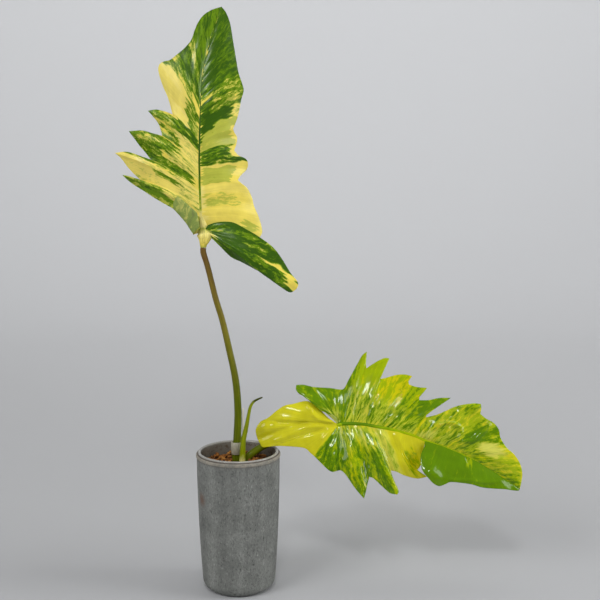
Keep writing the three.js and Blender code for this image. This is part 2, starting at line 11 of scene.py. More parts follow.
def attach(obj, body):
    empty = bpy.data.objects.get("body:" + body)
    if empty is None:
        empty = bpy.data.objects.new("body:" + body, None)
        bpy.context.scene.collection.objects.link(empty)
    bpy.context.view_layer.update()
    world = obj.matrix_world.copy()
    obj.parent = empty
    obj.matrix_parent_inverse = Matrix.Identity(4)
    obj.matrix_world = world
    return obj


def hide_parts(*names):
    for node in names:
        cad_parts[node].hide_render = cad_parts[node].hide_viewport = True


bl_info = {
    "name": "Potted Variegated Philodendron",
    "version": (1, 0, 0),
    "blender": (4, 5, 0),
    "location": "3D View > Sidebar > Plant",
    "description": "Builds a variegated climbing aroid in a tall stoneware planter",
    "category": "Add Mesh",
}

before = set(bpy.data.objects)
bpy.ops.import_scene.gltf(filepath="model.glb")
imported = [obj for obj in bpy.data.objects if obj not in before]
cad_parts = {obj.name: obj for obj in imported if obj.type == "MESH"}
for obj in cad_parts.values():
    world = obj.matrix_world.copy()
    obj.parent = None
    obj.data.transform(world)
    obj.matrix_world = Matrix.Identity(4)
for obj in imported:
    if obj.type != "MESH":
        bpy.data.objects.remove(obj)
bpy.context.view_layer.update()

# Tables below are in millimetres, and Blender works in metres.
MM = 0.001

# Points closer than this are one point, and shorter edges are dropped.
WELD = 0.002
SHORTEST_EDGE = 0.001

# The upright leaf: where its midrib starts, how far it leans back in degrees, how much
# each half bulges and its veins bow to the tip, then its relief, the columns of its mesh,
# and how softly its sectors run into each other beside and along the veins.
TALL_LEAF = {
    "place": (-29, 0, 321), "lean": 6, "camber": -0.05, "arch": 0.1,
    "quilt": 0.17, "pucker": 0.1, "wave": 0.5, "wave_length": 32, "columns": 30,
    "blend": (0.16, 0.03),
}
TALL_RIB = [
    (0, 0, 0), (-2, 0, 9.5), (-2.5, -1, 24), (-3, -2, 46), (-3, -3, 69), (-2.5, -3, 89),
    (-2, -2, 110.5), (-1, 0, 130.5), (2, 3, 151.5), (6.5, 7, 170), (11.5, 11, 185.5), (15.5, 15, 199),
]

# Margins run from the tip round to the notch. Each station says how far up
# the midrib its vein leaves, and where that vein meets the margin.
TALL_RIGHT = [
    (203, 15.5, 15, 199), (176, 19.5, 15, 193.5), (158, 23, 15, 184), (141, 25.5, 14, 169.5),
    (126, 28, 13, 154.5), (114, 30.5, 12, 140.5), (107, 33.5, 11, 131.5), (102, 35, 11, 125.5),
    (97, 33, 12, 118), (90, 31, 12, 108), (83.5, 28.5, 12, 99.5), (77.5, 25.5, 11, 91.5),
    (75.5, 26.5, 14, 89), (73, 28.5, 18, 85.5), (69, 28, 17, 79), (65, 26.5, 11, 73), (62, 30, 13, 69),
    (59.5, 36, 17, 66.5), (56.5, 38, 20, 63), (52.5, 37, 21, 57.5), (48.5, 32, 16, 51.5),
    (45, 29.5, 12, 47), (41.5, 32.5, 13, 44.5), (37, 37.5, 17, 40.5), (30.5, 41.5, 20, 32.5),
    (24, 43.5, 21, 24.5), (18, 47, 21, 16.5), (13, 49.5, 22, 8.5), (9.5, 50.5, 22, 1.5),
    (7, 48, 20, -4), (5.5, 36, 14, -1), (4, 21, 9, 1.5), (2, 10, 4, 2.5), (0, 5, 1, 1.5),
]
TALL_LEFT = [
    (203, 15.5, 15, 199), (180, 7.5, 13, 196), (160, 0.5, 10, 191), (143, -4.5, 7, 183.5),
    (129, -7.5, 5, 175.5), (118, -10, 3, 167.5), (110, -15.5, 2, 160.5), (104, -22.5, 2, 154.5),
    (99.5, -28.5, 2, 150), (96.5, -33.5, 3, 149), (94, -37.5, 4, 147), (92, -39, 5, 143),
    (89.5, -38, 6, 137), (86.5, -35, 6, 128), (84, -31.5, 5, 120), (81.5, -29, 3, 113),
    (77, -26, 0, 102.5), (75, -32.5, -2, 105), (72.5, -40, -4, 106.5), (70, -47, -3, 105.5),
    (67.5, -43, -1, 101), (64.5, -38.5, 0, 95), (61, -36, 0, 88.5), (57, -35, -1, 84),
    (54.5, -43.5, -3, 86), (51.5, -52.5, -6, 88), (48.5, -63, -6, 87.5), (46.5, -59, -4, 82),
    (44, -54, -2, 75), (41.5, -49, -2, 69), (38.5, -44.5, -3, 63), (36.5, -55.5, -6, 67),
    (34.5, -65, -9, 69.5), (32.5, -74.5, -10, 68.5), (31, -69.5, -8, 64), (29, -64, -6, 56.5),
    (27, -59, -5, 51), (24.5, -52.5, -5, 45), (21, -57.5, -8, 45.8), (18, -63, -10, 48.3),
    (15.5, -68, -11, 49.5), (14.5, -65, -9, 46.5), (13.5, -59.5, -7, 42), (12.5, -50, -6, 36),
    (11, -41, -5, 30), (9.5, -32.5, -5, 25), (8, -24.5, -5, 20.5), (7.3, -22, -5, 18),
    (6.5, -19.5, -5, 15.5), (5, -14.5, -4, 9.5), (3, -11, -3, 4), (0, -8, -1, -1),
]

# The free edge of the left basal lobe, which folds forward over the blade.
TALL_FOLD_EDGE = [
    (-24.5, -9, 26.5), (-21, -12, 31.5), (-17.2, -13, 28.9), (-11.4, -12, 23.7), (-4.2, -10, 17.3),
    (-2.2, -7, 4.7),
]
TALL_FOLD_START = 46

# The dark right basal lobe, which fans out from the petiole.
TALL_LOBE_ROOT = (1.5, -2, 2.5)
TALL_LOBE = [
    (0, 4.5, -1.5, 7), (0, 10.5, -1, 9), (0, 19, 0, 10), (0, 27, 1, 9), (0, 36.5, 2, 4),
    (0, 48.5, 3, -3), (0, 60, 3, -11.5), (0, 68, 3, -21.5), (0, 76.5, 2, -35), (0, 82, 1, -42),
    (0, 82.5, 0, -46), (0, 80, 0, -49.5), (0, 76, 0, -51.5), (0, 72, 0, -49.5), (0, 67, 0, -46),
    (0, 56.5, 1, -37), (0, 45, 2, -31), (0, 33, 3, -25), (0, 25, 4, -21.5), (0, 19.5, 3, -16.5),
    (0, 13.5, 1, -8), (0, 7, -1, -1),
]

# The flattened knob where petiole, midrib and basal lobes meet: place and half width.
TALL_NECK = [
    (0.2, 0, -12.5, 2.6), (0.3, -0.3, -9.5, 3.3), (1.0, -0.5, -6, 5), (1.4, -0.6, -3, 6.6),
    (1.2, -0.6, -1, 6.4), (0.9, -0.6, 1, 5), (0.6, -0.6, 4.5, 3.6), (-0.4, -0.6, 9, 2.8),
    (-1.8, -0.4, 14, 1.6),
]
TALL_NECK_FLATNESS = 0.6

# The torn end of the folded lobe, healed to a corky line: place and half width.
TALL_SCAR = [
    (-8.2, -1.8, -1.2, 0.3), (-7.1, -5.2, -0.1, 0.55), (-5.2, -6.6, 1.6, 0.45), (-3.4, -7.2, 3.4, 0.5),
    (-2, -7.4, 4.9, 0.3),
]

# Ridges and creases of the leaves: points x and z in the plane of the blade, height, width.
TALL_RIDGES = [
    ([(-31, 136.7), (-29.4, 126.4), (-26.8, 112.7), (-24.3, 102.4)], 0.9, 1.5),
    ([(3.5, 148), (8, 128), (14, 104)], -0.5, 2.5),
]
LOW_RIDGES = [
    ([(-28, 16), (-23, 8.5), (-17.5, 3.6), (-7, 1.8)], 1.3, 1.9),
    ([(-29, 14.5), (-27.4, 13)], 1.2, 4.5),
    ([(-65, -1.5), (-62, -2.5)], 1.6, 6.5),
    ([(-55, 1.2), (-37.7, 0.6), (-25.7, 1.2), (-7, 0)], -1.2, 1.9),
    ([(-69.9, -12.6), (-57.2, -7.4), (-41, -1.8), (-30, 0.4)], -1.1, 1.8),
    ([(-55, -14.6), (-39.2, -7.4), (-27.5, -3), (-15.8, -1.6)], 0.9, 2.4),
    ([(-52, -17.6), (-38.5, -13), (-27.5, -9), (-13, -4.4)], -0.9, 1.7),
    ([(-14, -12.6), (-8.2, -6.4)], 0.9, 1.8),
    ([(80.6, -11.1), (83.8, -5.1), (89.9, -0.6), (97.5, 1.3), (104.9, 0.5), (110, -3.6), (110.3, -8.1),
      (107.5, -13.3)], 1.9, 1.6),
    ([(134.9, 0.1), (131.7, -5.1), (125.5, -10.3), (120.2, -14.8), (111.9, -14.8)], 1.8, 2.2),
    ([(100, -4), (99, -9)], 0.8, 2.4),
    ([(122, -28.6), (134, -27.4), (150, -28)], -0.7, 1.8),
    ([(110, -22), (114.5, -29.6), (118.6, -40)], -0.5, 1.4),
    ([(81, -43), (86, -47.5)], 2.0, 5.5),
    ([(98.4, -49.4), (116, -50), (131, -52), (145, -50.5)], 0.8, 1.6),
    ([(100, 15.4), (112.7, 16.3), (126.3, 15.4)], 0.9, 2.4),
    ([(-22.6, 33.3), (-14.3, 23.5), (-7.6, 13.6), (-0.4, 3.9)], -0.6, 1.6),
    ([(15, 22), (13, 12), (12, 3)], -0.7, 1.8),
    ([(34, 26), (28, 14), (24, 3)], -0.6, 1.8),
    ([(56, 24), (46, 12), (38, 0)], -0.7, 2.0),
    ([(26, -36), (23, -20), (18, -4)], -0.6, 1.8),
    ([(46, -34), (40, -20), (33, -7)], -0.6, 1.8),
    ([(64, -40), (60, -24), (52, -10)], 0.7, 3.0),
]

# The low leaf, held out to the right.
LOW_LEAF = {
    "place": (90, 10, 147.5), "lean": 20, "camber": -0.05, "arch": 0,
    "quilt": 0.05, "pucker": 0.34, "wave": 1.0, "wave_length": 22, "columns": 44,
    "blend": (0.45, 0.1),
}
LOW_RIB = [
    (0, 0, 0), (7.5, -1, 0.5), (21, -2, 0), (35.5, -3, -2.5), (49, -3, -5), (66, -2, -9.5),
    (80, -1, -15), (94, 0, -19.5), (114.5, 2, -28), (128, 3, -35), (145, 5, -45.5), (162.5, 7, -57),
]
LOW_UPPER = [
    (175, 162.5, 7, -57), (160, 164.5, 6, -49), (148, 165, 5, -42), (136, 163, 4, -34),
    (126, 158, 3, -26.5), (118, 151, 2, -20), (111, 146, 1, -11.5), (106, 144.5, 0, -4),
    (102, 140, 0, 1.5), (98.5, 133.5, 0, 5.5), (95, 128.5, -1, 9.5), (91.5, 129.5, -1, 14.5),
    (88, 129, -2, 18.5), (85, 122.5, -2, 19), (81, 112.5, -2, 17.5), (77, 101, -1, 14), (73, 89, -1, 9),
    (69.5, 79, -1, 6.5), (66, 81.5, -1, 14), (63, 86.5, -1, 17), (60, 95, -1, 20.5), (57, 102, 0, 24),
    (54.5, 91.5, 0, 24), (52, 81.5, -1, 22), (49, 73.5, -1, 22), (47, 74, 0, 26.5), (45, 77.5, 1, 29),
    (42.5, 81, 2, 33.5), (40, 71, 1, 34.5), (37, 64.5, 0, 36.5), (35, 64.5, 2, 40.5),
    (32.5, 68, 4, 44.5), (30, 61.5, 4, 46), (27, 53, 3, 45.5), (25, 44.5, 2, 43), (22.5, 38.5, 1, 41.5),
    (21.5, 40.5, 2, 49), (19.5, 44, 4, 55.5), (18, 47.5, 5, 61), (15.5, 43.5, 5, 61.5),
    (14, 38.5, 4, 59.5), (12, 31, 3, 55), (10.5, 26, 2, 51.5), (8.5, 26, 4, 56.5), (6.5, 26.5, 5, 62.5),
    (5.5, 27, 6, 67.5), (4.5, 23, 6, 64.5), (3.5, 19, 6, 58), (2.5, 14, 5, 48.5), (1.5, 9.5, 4, 40),
    (1, 5.5, 3, 33), (0, 2, 3, 32), (0, -6.5, 4, 33.5), (0, -14.5, 3, 34), (0, -23, 2, 34.5),
    (0, -32, 0, 36), (0, -38, -2, 35.5), (-1, -38.5, -3, 32), (-2, -37, -3.5, 29), (-3, -33, -4, 27),
]
LOW_LOWER = [
    (175, 162.5, 7, -57), (169, 161.5, 6, -58.5), (161, 157, 5, -58.5), (151.5, 148.5, 2, -57.5),
    (142, 138, 0, -57), (133, 127, -2, -56), (125.5, 118, -4, -53.5), (118.5, 107.5, -4, -52),
    (113, 98.5, -5, -51.5), (108, 93.5, -6, -53.5), (104, 88.5, -7, -55), (100, 83.5, -8, -53),
    (96, 78.5, -9, -48), (91.5, 74, -9, -42), (88, 72.5, -8, -35), (84, 73, -6, -27.5),
    (82, 76.5, -3, -21), (80, 77.5, -1, -17), (74.5, 76, 2, -24.5), (70, 75, 3, -32),
    (66.5, 73.5, 4, -37), (64.5, 70.5, 4, -40.5), (62, 72.5, 4, -43.8), (59.5, 78.5, 4, -46.5),
    (54, 71, 3, -48), (48, 64.5, 2, -47), (44, 57.5, 0, -45), (39, 51, -1, -42), (35.5, 46.5, -1, -41),
    (30, 47.5, -2, -47), (27, 50, -4, -53), (25, 52.5, -7, -60), (23, 51, -8, -62.5),
    (20.5, 44.5, -7, -61), (18, 38, -5, -55), (15.5, 31, -3, -48), (14, 27, -2, -46.5),
    (10.5, 24.5, -4, -55), (9, 23.5, -5, -61), (6.5, 22, -6, -66), (5, 18, -6, -61.5),
    (3.5, 13, -5, -55), (2.5, 9, -4, -49), (1.5, 5, -3, -43.5), (0.5, 1.5, -2, -41),
    (0, -1.5, -2, -41.5), (0, -5.5, -3, -42.5), (0, -9, -3, -41), (0, -13.5, -3, -37),
    (0, -19.5, -3, -31), (0, -25, -3, -26), (0, -30.5, -3, -21.5), (0, -42, -3, -20),
    (0, -52.5, -3, -19.5), (0, -61.5, -3, -20), (0, -68, -2, -20.5), (0, -70.5, -2, -17.5),
    (0, -73.5, -2, -11.5), (0, -74.5, -3, -5), (0, -72.5, -3, -0.5), (0, -69, -3, 3), (0, -63, -4, 6),
    (0, -56.5, -4, 11.5), (0, -49, -4, 16.5), (0, -40.5, -3, 18.5), (-1, -35.5, -2, 20),
    (-2, -31, -1.5, 21), (-3, -27.2, -1, 21), (-4, -24, -1, 19.5),
]

# Edges of the notch beside the petiole, where the veins with -1, -2 and so on
# start instead of on the midrib.
LOW_UPPER_NOTCH = [(-1.8, -2, 6.6), (-5.8, -3, 8.2), (-17, -3.5, 12.6)]
LOW_LOWER_NOTCH = [(-3.5, -0.3, 0.6), (-7.6, 0, 4), (-14, 0.3, 10.6), (-19.6, 0.5, 16)]

# How far the veins of the hooked lobe bow to the base: place on the midrib and distance.
LOW_LOWER_BENDS = [(42, 0), (48, 1), (54, 5), (59.5, 9.5), (62, 7.5), (64.5, 4.5), (67, 1.5), (70, 0)]

# The low leaf's neck: place and half width.
LOW_NECK = [(-5, 3.6, -3, 2.7), (-2, 2, -1, 2.6), (2, 0.6, 0, 2.2), (8, 0, 0.3, 1.3)]

# Sectors of the variegation, painted in order over each other. Each one says
# its first and last station, how far out it starts and ends as a share of the
# vein, then pigment (0 yellow, 1 dark green), marbling and cream.
TALL_RIGHT_SECTORS = [
    (-1, 5.2, 0, 1.1, 0.76, 0.32, 0),
    (4.4, 5.2, 0, 0.25, 0.6, 0.8, 0),
    (5.0, 8.6, 0.3, 1.1, 0.56, 1.0, 0),
    (5.6, 8.6, 0, 0.3, 0.78, 0.7, 0),
    (8.2, 9.6, 0, 0.8, 0.86, 0.5, 0),
    (8.7, 9.4, 0.74, 1.1, 0.35, 0.9, 0.3),
    (9.5, 14.2, 0, 1.1, 0.36, 0.1, 0),
    (9.3, 10.1, 0, 0.32, 0.9, 0.3, 0),
    (10.6, 15.2, 0.93, 1.1, 0.08, 0.1, 0.1),
    (10.5, 11.2, -0.1, 0.07, 0.85, 0.2, 0),
    (14.1, 18.2, 0, 0.88, 0.68, 1.1, 0),
    (14.4, 16.6, 0.88, 1.1, 0.08, 0.2, 0.1),
    (16.6, 17.7, 0.8, 1.1, 0.85, 0.3, 0),
    (18.1, 18.7, -0.1, 1.1, 0.12, 0.3, 0.2),
    (18.6, 22.3, 0.03, 0.8, 0.38, 0.1, 0),
    (17.9, 22.5, 0.84, 1.1, 0.06, 0.1, 0.1),
    (22.3, 23.7, -0.1, 1.1, 0.08, 0.2, 0.2),
    (23.7, 25.4, 0.02, 0.74, 0.295, 0.14, 0),
    (25.4, 35, -0.1, 1.1, 0.10, 0.25, 0.1),
    (27, 29.2, 0.66, 0.93, 0.32, 0.16, 0),
    (22.3, 35, -0.1, 0.08, 0.12, 0.1, 0.7),
]
TALL_LEFT_SECTORS = [
    (-1, 4.5, 0, 1.1, 0.68, 0.42, 0),
    (4.5, 7, 0, 1.1, 0.64, 0.8, 0.1),
    (4.6, 5.6, 0.5, 0.97, 0.48, 0.9, 0.1),
    (5.6, 7.1, 0.55, 1.1, 0.76, 0.6, 0),
    (6.9, 8.5, 0.3, 1.1, 0.46, 1.0, 0.1),
    (8, 16, 0, 0.35, 0.52, 1.0, 0.1),
    # The upper left yellow lobe: its cream is raised to lighten the whole lobe, partly as painted highlight.
    (8.5, 16.6, 0.35, 1.1, 0.05, 0.1, 0.35),
    (8.1, 9.3, 0.9, 1.1, 0.52, 0.9, 0),
    (15.7, 17.1, 0, 0.8, 0.78, 0.8, 0),
    (16.9, 18.8, 0, 0.55, 0.68, 0.9, 0),
    (17, 19.6, 0.4, 1.1, 0.54, 1.0, 0),
    (19.6, 23.1, 0.45, 1.1, 0.46, 1.1, 0),
    (18.8, 23.6, 0, 0.5, 0.24, 0.75, 0.4),
    (23.3, 26.4, 0.4, 1.1, 0.60, 1.1, 0),
    (23.6, 27.8, 0, 0.45, 0.34, 0.9, 0.3),
    (25.3, 30.2, 0.55, 1.1, 0.64, 1.0, 0),
    (27.8, 30.6, 0.08, 0.8, 0.62, 1.0, 0),
    (30.6, 32.4, 0.2, 1.1, 0.52, 1.0, 0),
    (31, 37.5, 0, 0.32, 0.26, 0.9, 0.4),
    (32.4, 37.4, 0.32, 1.1, 0.17, 0.9, 0.3),
    (33.2, 34.8, 0.25, 0.6, 0.56, 0.9, 0),
    (37.4, 43, 0, 0.6, 0.22, 0.75, 0.3),
    (37.6, 53, 0.5, 1.1, 0.54, 0.85, 0),
    (42, 53, -0.1, 1.1, 0.52, 0.5, 0),
    (50.2, 53, -0.1, 1.1, 0.16, 0.3, 0.6),
]
TALL_LOBE_SECTORS = [
    (-1, 22, -0.1, 1.1, 0.84, 1.1, 0),
    (1.5, 4.5, 0.35, 0.85, 0.74, 1.2, 0),
    (2.5, 5, 0.1, 0.4, 0.62, 1.1, 0),
    (12, 16, 0.2, 0.7, 0.72, 1.2, 0),
    (5.1, 5.7, 0.62, 0.86, 0.50, 0.6, 0),
    (6.4, 7.1, 0.55, 0.78, 0.50, 0.7, 0),
    (7.8, 8.5, 0.72, 0.93, 0.14, 0.3, 0),
    (8.3, 10.3, 0.84, 0.965, 0.05, 0.1, 0),
    (9.7, 11.3, 0.9, 1.1, 0.05, 0.1, 0),
    (-1, 22, -0.1, 0.09, 0.14, 0.3, 0.6),
]
TALL_FOLD_SECTORS = [(-1, 60, -0.1, 1.1, 0.56, 0.9, 0.2)]
LOW_UPPER_SECTORS = [
    (-1, 5, 0, 1.1, 0.45, 1.1, 0.1),
    (-1, 2.4, 0, 0.75, 0.60, 0.9, 0),
    (-1, 5, 0.9, 1.1, 0.24, 0.5, 0.1),
    (3.5, 7.5, 0, 0.45, 0.50, 1.1, 0),
    (5, 12, 0, 1.1, 0.42, 1.0, 0.1),
    (5.6, 7.4, 0.84, 1.1, 0.62, 0.7, 0),
    (6.4, 8.8, 0.3, 0.8, 0.70, 0.6, 0),
    (8.8, 12, 0.5, 0.95, 0.36, 0.5, 0.1),
    (9.4, 13, 0, 0.34, 0.56, 0.7, 0.3),
    (1.6, 4.2, 0.3, 0.9, 0.36, 0.6, 0.1),
    (4.0, 5.9, 0.42, 0.86, 0.24, 0.5, 0.9),
    (12, 17, 0, 1.1, 0.40, 1.0, 0.1),
    (11.5, 13.4, 0.78, 1.1, 0.54, 0.5, 0),
    (13.4, 16.6, 0, 0.25, 0.32, 0.8, 0.6),
    (17.3, 24, 0.3, 1.1, 0.60, 0.6, 0),
    (17.5, 24, 0, 0.3, 0.52, 0.9, 0.3),
    (24, 28.5, 0.35, 1.1, 0.46, 0.8, 0),
    (28.5, 35, 0.4, 1.1, 0.29, 0.5, 0),
    (24, 35, 0, 0.45, 0.49, 1.0, 0.3),
    (35, 42.3, 0.45, 1.1, 0.37, 0.35, 0),
    (42.3, 46.5, 0.5, 1.1, 0.46, 0.35, 0),
    (35, 50, 0, 0.5, 0.50, 1.0, 0.4),
    (46.5, 62, -0.1, 1.1, 0.60, 0.5, 0),
    (50, 57, 0, 0.4, 0.46, 0.8, 0.6),
]
LOW_LOWER_SECTORS = [
    (-1, 17.3, -0.1, 1.1, 0.64, 0.12, 0),
    (6.2, 6.8, 0.05, 0.35, 0.44, 0.3, 0),
    (17.3, 26.2, -0.1, 1.1, 0.14, 0.3, 0.1),
    (19.5, 24.4, 0.45, 0.95, 0.28, 0.9, 0),
    (26.2, 29.2, 0, 1.1, 0.28, 0.8, 0.5),
    (29.2, 36, 0, 0.45, 0.44, 1.0, 0.3),
    (29.2, 36.2, 0.4, 1.1, 0.61, 1.0, 0),
    (36.2, 44, 0, 0.4, 0.54, 1.0, 0.3),
    (36.2, 44, 0.35, 1.1, 0.58, 1.15, 0),
    (44, 49.6, 0.1, 1.1, 0.65, 1.1, 0),
    (49.6, 70, -0.1, 1.1, 0.10, 0.12, 0.1),
]

# How finely a leaf is meshed, and how it thins out at its rim.
MARGIN_STEP = 0.9
CORNER_ANGLE = 62
RIM_DISTANCES = (0.9, 0.45, 0.15, 0)
RIM_THICKNESS = (1, 0.85, 0.6, 0.3)
RIM_SHARE = 0.3

# Midribs: rows and sides of the mesh, how far short of the tip they end, and their half
# width, rise and depth there.
MIDRIB_ROWS = 110
MIDRIB_SIDES = 18
MIDRIB_STOP = 1.5
MIDRIB_TIP = (0.28, 0.42, 0.5)

# The fold of the left basal lobe: how far it bulges, and how thin its free edge is.
FOLD_COLUMNS = 18
FOLD_REACH = 5
FOLD_OVERSHOOT = 0.12
FOLD_EDGE_THICKNESS = 0.4
FOLD_SEED = 3.0

# Veins, and how far out on a vein each kind of relief has half risen from the midrib.
VEIN_SPACING = 7.0
VEIN_GROOVE = 0.7
VEIN_GROOVE_WIDTH = 0.8
QUILT_EASE = 0.12
GROOVE_EASE = 0.1
WAVE_EASE = 0.15
PUCKER_EASE = 0.06

# Irregularities of a blade: amount, then lengths across and along the veins. Each leaf
# has its own strength of pucker besides.
SECTOR_WOBBLE = (0.45, 6, 9)
RAGGED_REACH = (0.12, 1.3, 30)
VEIN_DRIFT = (0.35, 15, 40)
QUILT_CHANGE = (0.9, 9, 18)
PUCKER = (1, 4.5, 8)

# Skins of the two leaves: pigment at which one tone runs into the next, width of a
# streak, and the gloss of the wax.
MATURE_STREAKS = {"limits": (0.25, 0.32, 0.42, 0.5, 0.62, 0.78), "streak_width": 2.6}
MATURE_WAX = {"roughness": 0.34, "specular": 0.12, "coat": 0.26, "coat_roughness": 0.2}
YOUNG_STREAKS = {"limits": (0.23, 0.34, 0.48, 0.6, 0.72, 0.93), "streak_width": 2.8}
YOUNG_WAX = {"roughness": 0.28, "specular": 0.04, "coat": 0.42, "coat_roughness": 0.09}
WAX_TINT = "#e6ffb0"
UNDERSIDE_BLOOM = "#a6ae66"

# Sizes of the patterns in the materials. Real leaf cells, fibres and the tooth of paper
# are too fine to show, so these are drawn coarser than they are.
VEIN_SWAY = 9.09
VEIN_SWAY_REACH = 5
VEIN_THREAD = 0.625
TONE_CLOUD = 11.11
SKIN_CELL = 1.818
STALK_FIBRE = 1.818
STALK_BLOTCH = 6.25
CLAY_CLOUD = 14.29
THROWING_RUN = 9.09
CLAY_CRUST = 3.333
BARK_FIBRE = 1.111
PEAT_CRUMB = 0.8333
PLASTIC_HAZE = 2.857
WOOD_GRAIN = 0.4
STEM_CORK = 2
PAPER_TOOTH = 1.111

# Top of the buried stem, and the gap that a seated piece keeps.
STEM_TOP = 108
SEAT = 0.3

# Stalks, each as places with a radius.
TALL_PETIOLE = [
    (-2.6, 0, STEM_TOP + SEAT, 3.5), (-2.1, 1, 119, 3.6), (-1.55, 1.5, 128.5, 3.6), (-0.8, 2.2, 140, 3.5),
    (-0.2, 4, 162.5, 3.3), (-2.2, 5, 189.5, 3.1), (-7.6, 6, 216.5, 2.9), (-13.6, 5, 244, 2.7),
    (-19, 4, 263, 2.6), (-25.3, 2, 290.5, 2.5),
]
LOW_PETIOLE = [
    (7.8, 0.8, STEM_TOP + SEAT, 3.1), (7.6, 0.6, 116, 3.2), (9.2, 1.4, 120.5, 3.2), (13, 3.4, 123.4, 3.3),
    (19, 6, 126.8, 3.2), (32.5, 9, 132.4, 3), (55.5, 11.5, 138.5, 2.8), (73, 13, 141.3, 2.7),
]
SHOOT = [
    (3.2, -4.8, STEM_TOP + SEAT, 2.5), (3.9, -5.4, 118, 2.7), (4.3, -5.2, 128, 2.6), (5, -5, 137.5, 2.4),
    (7, -5, 146, 2.1), (8.5, -5, 153.5, 1.8), (9.7, -4, 160, 1.6), (11.3, -3, 167, 1.4),
    (14, -2, 171.3, 1.2), (17.5, -1, 173.3, 1.0), (22, 0, 175, 0.6),
]
STICK = [(3.9, 3.2, 84, 0.6), (4.4, 3.2, 164.5, 0.6)]

# Straight end of a stalk below its blade.
STALK_APPROACH = 4

# Sections of the stalks as shares of their radius: the shallow channel with its width as
# an angle, the low ridges and how far they turn along the stalk, and the step of the
# rolled sheath.
CHANNEL_DEPTH = 0.05
CHANNEL_WIDTH = 0.45
RIDGE_DEPTH = 0.012
RIDGE_COUNT = 9
RIDGE_TWIST = 5
SHEATH_INNER = 0.9
SHEATH_STEP = 0.16

# Where each stalk passes the surface of the substrate: x, y and radius.
STALK_FEET = [(-2.3, 0.6, 3.7), (7.7, 0.7, 3.4), (3.7, -5.2, 2.9), (3.9, 3.2, 0.8)]

# Clip round the tall petiole and the stick, each as place and inside radius.
CLIP_BOTTOM = 123
CLIP_HEIGHT = 11
CLIP_WALL = 0.7
CLIP_EDGE = 0.18
CLIP_PETIOLE = (-1.55, 1.5, 4.3)
CLIP_STICK = (4.15, 3.2, 1.2)

# Planter. The lines of its wall and lip are radius and height, from the foot up. The
# inside has a radius at the foot and one at the lip, and a rounded corner on the floor.
POT_HEIGHT = 126.4
POT_FLOOR = 7
POT_FOOT_RADIUS = 23.5
POT_CORNER = (9.3, 9.5)
POT_INSIDE = (30.6, 33.2)
POT_INSIDE_TOP = 123
POT_COVE_HEIGHT = 12
POT_COVE_REACH = 8
POT_WALL_LINE = [(32.8, 9.5), (34, 26), (35.3, 50), (36.3, 78), (36.9, 100), (37.15, 120.9)]
POT_LIP_LINE = [
    (37.15, 120.9), (37.25, 121.4), (37.6, 121.8), (37.78, 122.4), (37.8, 123.1), (37.7, 123.8),
    (37.35, 124.35), (36.6, 124.6), (36.05, 124.75), (35.95, 125.05), (36, 125.5), (35.8, 126),
    (35.3, 126.35), (34.7, 126.4), (34.1, 126.25), (33.6, 125.7), (33.3, 124.8),
]
POT_SECTORS = 176

# Heights on the lip: edge of the glaze, the bead, and the brown iron lines with their strength. These lines
# lie in the groove and under the bead, and they are also painted shade there.
GLAZE_EDGE = 125.2
BEAD_SPAN = (121.5, 124.6)
IRON_AND_SHADE_LINES = [(124.85, 1), (121.2, 0.4)]
IRON_AND_SHADE_WIDTH = 0.3

# Bed of peat: it is heaped in the middle, and lumpy.
SOIL_EDGE_HEIGHT = 114.5
SOIL_HEAP = 3
SOIL_HEAP_WIDTH = 17
SOIL_LUMP = 0.8
SOIL_LUMP_LENGTH = 3
SOIL_DROP = 0.6
SOIL_LIMIT = 32.4

# Bark chips: balls cut by planes, squashed and strewn. Pairs give the least and the most,
# apart from the tint's, which are its middle and its spread. The tilt is a spread too, in
# radians.
CHIP_SEED = 41
CHIP_CUTS = 7
CHIP_CUT_DISTANCE = (0.45, 0.85)
CHIP_SLIMNESS = (0.55, 0.95)
CHIP_FLATNESS = (0.35, 0.8)
CHIP_GNARL = 0.16
CHIP_SIZE = (1.0, 3.0)
CHIP_LIFT = (0.3, 3.6)
CHIP_TILT = 0.5
CHIP_TINT = (0.5, 0.2)

# Stage, in metres: the paper's flat disc, its bend and its wall, then each light's place,
# target, width and height, and the camera with its dip in degrees.
PAPER_FLAT = 1.3
PAPER_BEND = 0.9
PAPER_WALL = 0.3
PAPER_SECTORS = 128
PLANT_MIDDLE = (0.05, 0, 0.25)
LIGHTS = {
    "key": ((-1.1, -1.05, 1.15), PLANT_MIDDLE, 0.9, 0.9),
    "front": ((0.02, -1.15, 1.3), PLANT_MIDDLE, 0.22, 0.22),
    "fill": ((1.6, -0.25, 0.75), PLANT_MIDDLE, 0.8, 1.0),
    "top": ((0.15, 0.25, 1.5), PLANT_MIDDLE, 1.0, 0.5),
    "backdrop": ((0.1, 1.0, 1.7), (0.1, 2.2, 1.0), 2.4, 0.4),
}
SKY_STRENGTH = 0.38
CAMERA_PLACE = (0.0553, -0.899, 0.3871)
CAMERA_DIP = 7.9
SENSOR_WIDTH = 36


def linear(code):
    """An sRGB hex colour as linear red, green, blue and alpha."""
    channels = [int(code[i:i + 2], 16) / 255 for i in (1, 3, 5)]
    lit = [c / 12.92 if c <= 0.04045 else ((c + 0.055) / 1.055) ** 2.4 for c in channels]
    return (*lit, 1.0)


def colour(name, description, code):
    """A colour that the user can change."""
    return bpy.props.FloatVectorProperty(
        name=name, description=description, subtype="COLOR", size=4, min=0, max=1, default=linear(code))


def length(name, description, millimetres):
    """A size that the user can change."""
    return bpy.props.FloatProperty(
        name=name, description=description, unit="LENGTH", min=0, precision=5, default=millimetres * MM)


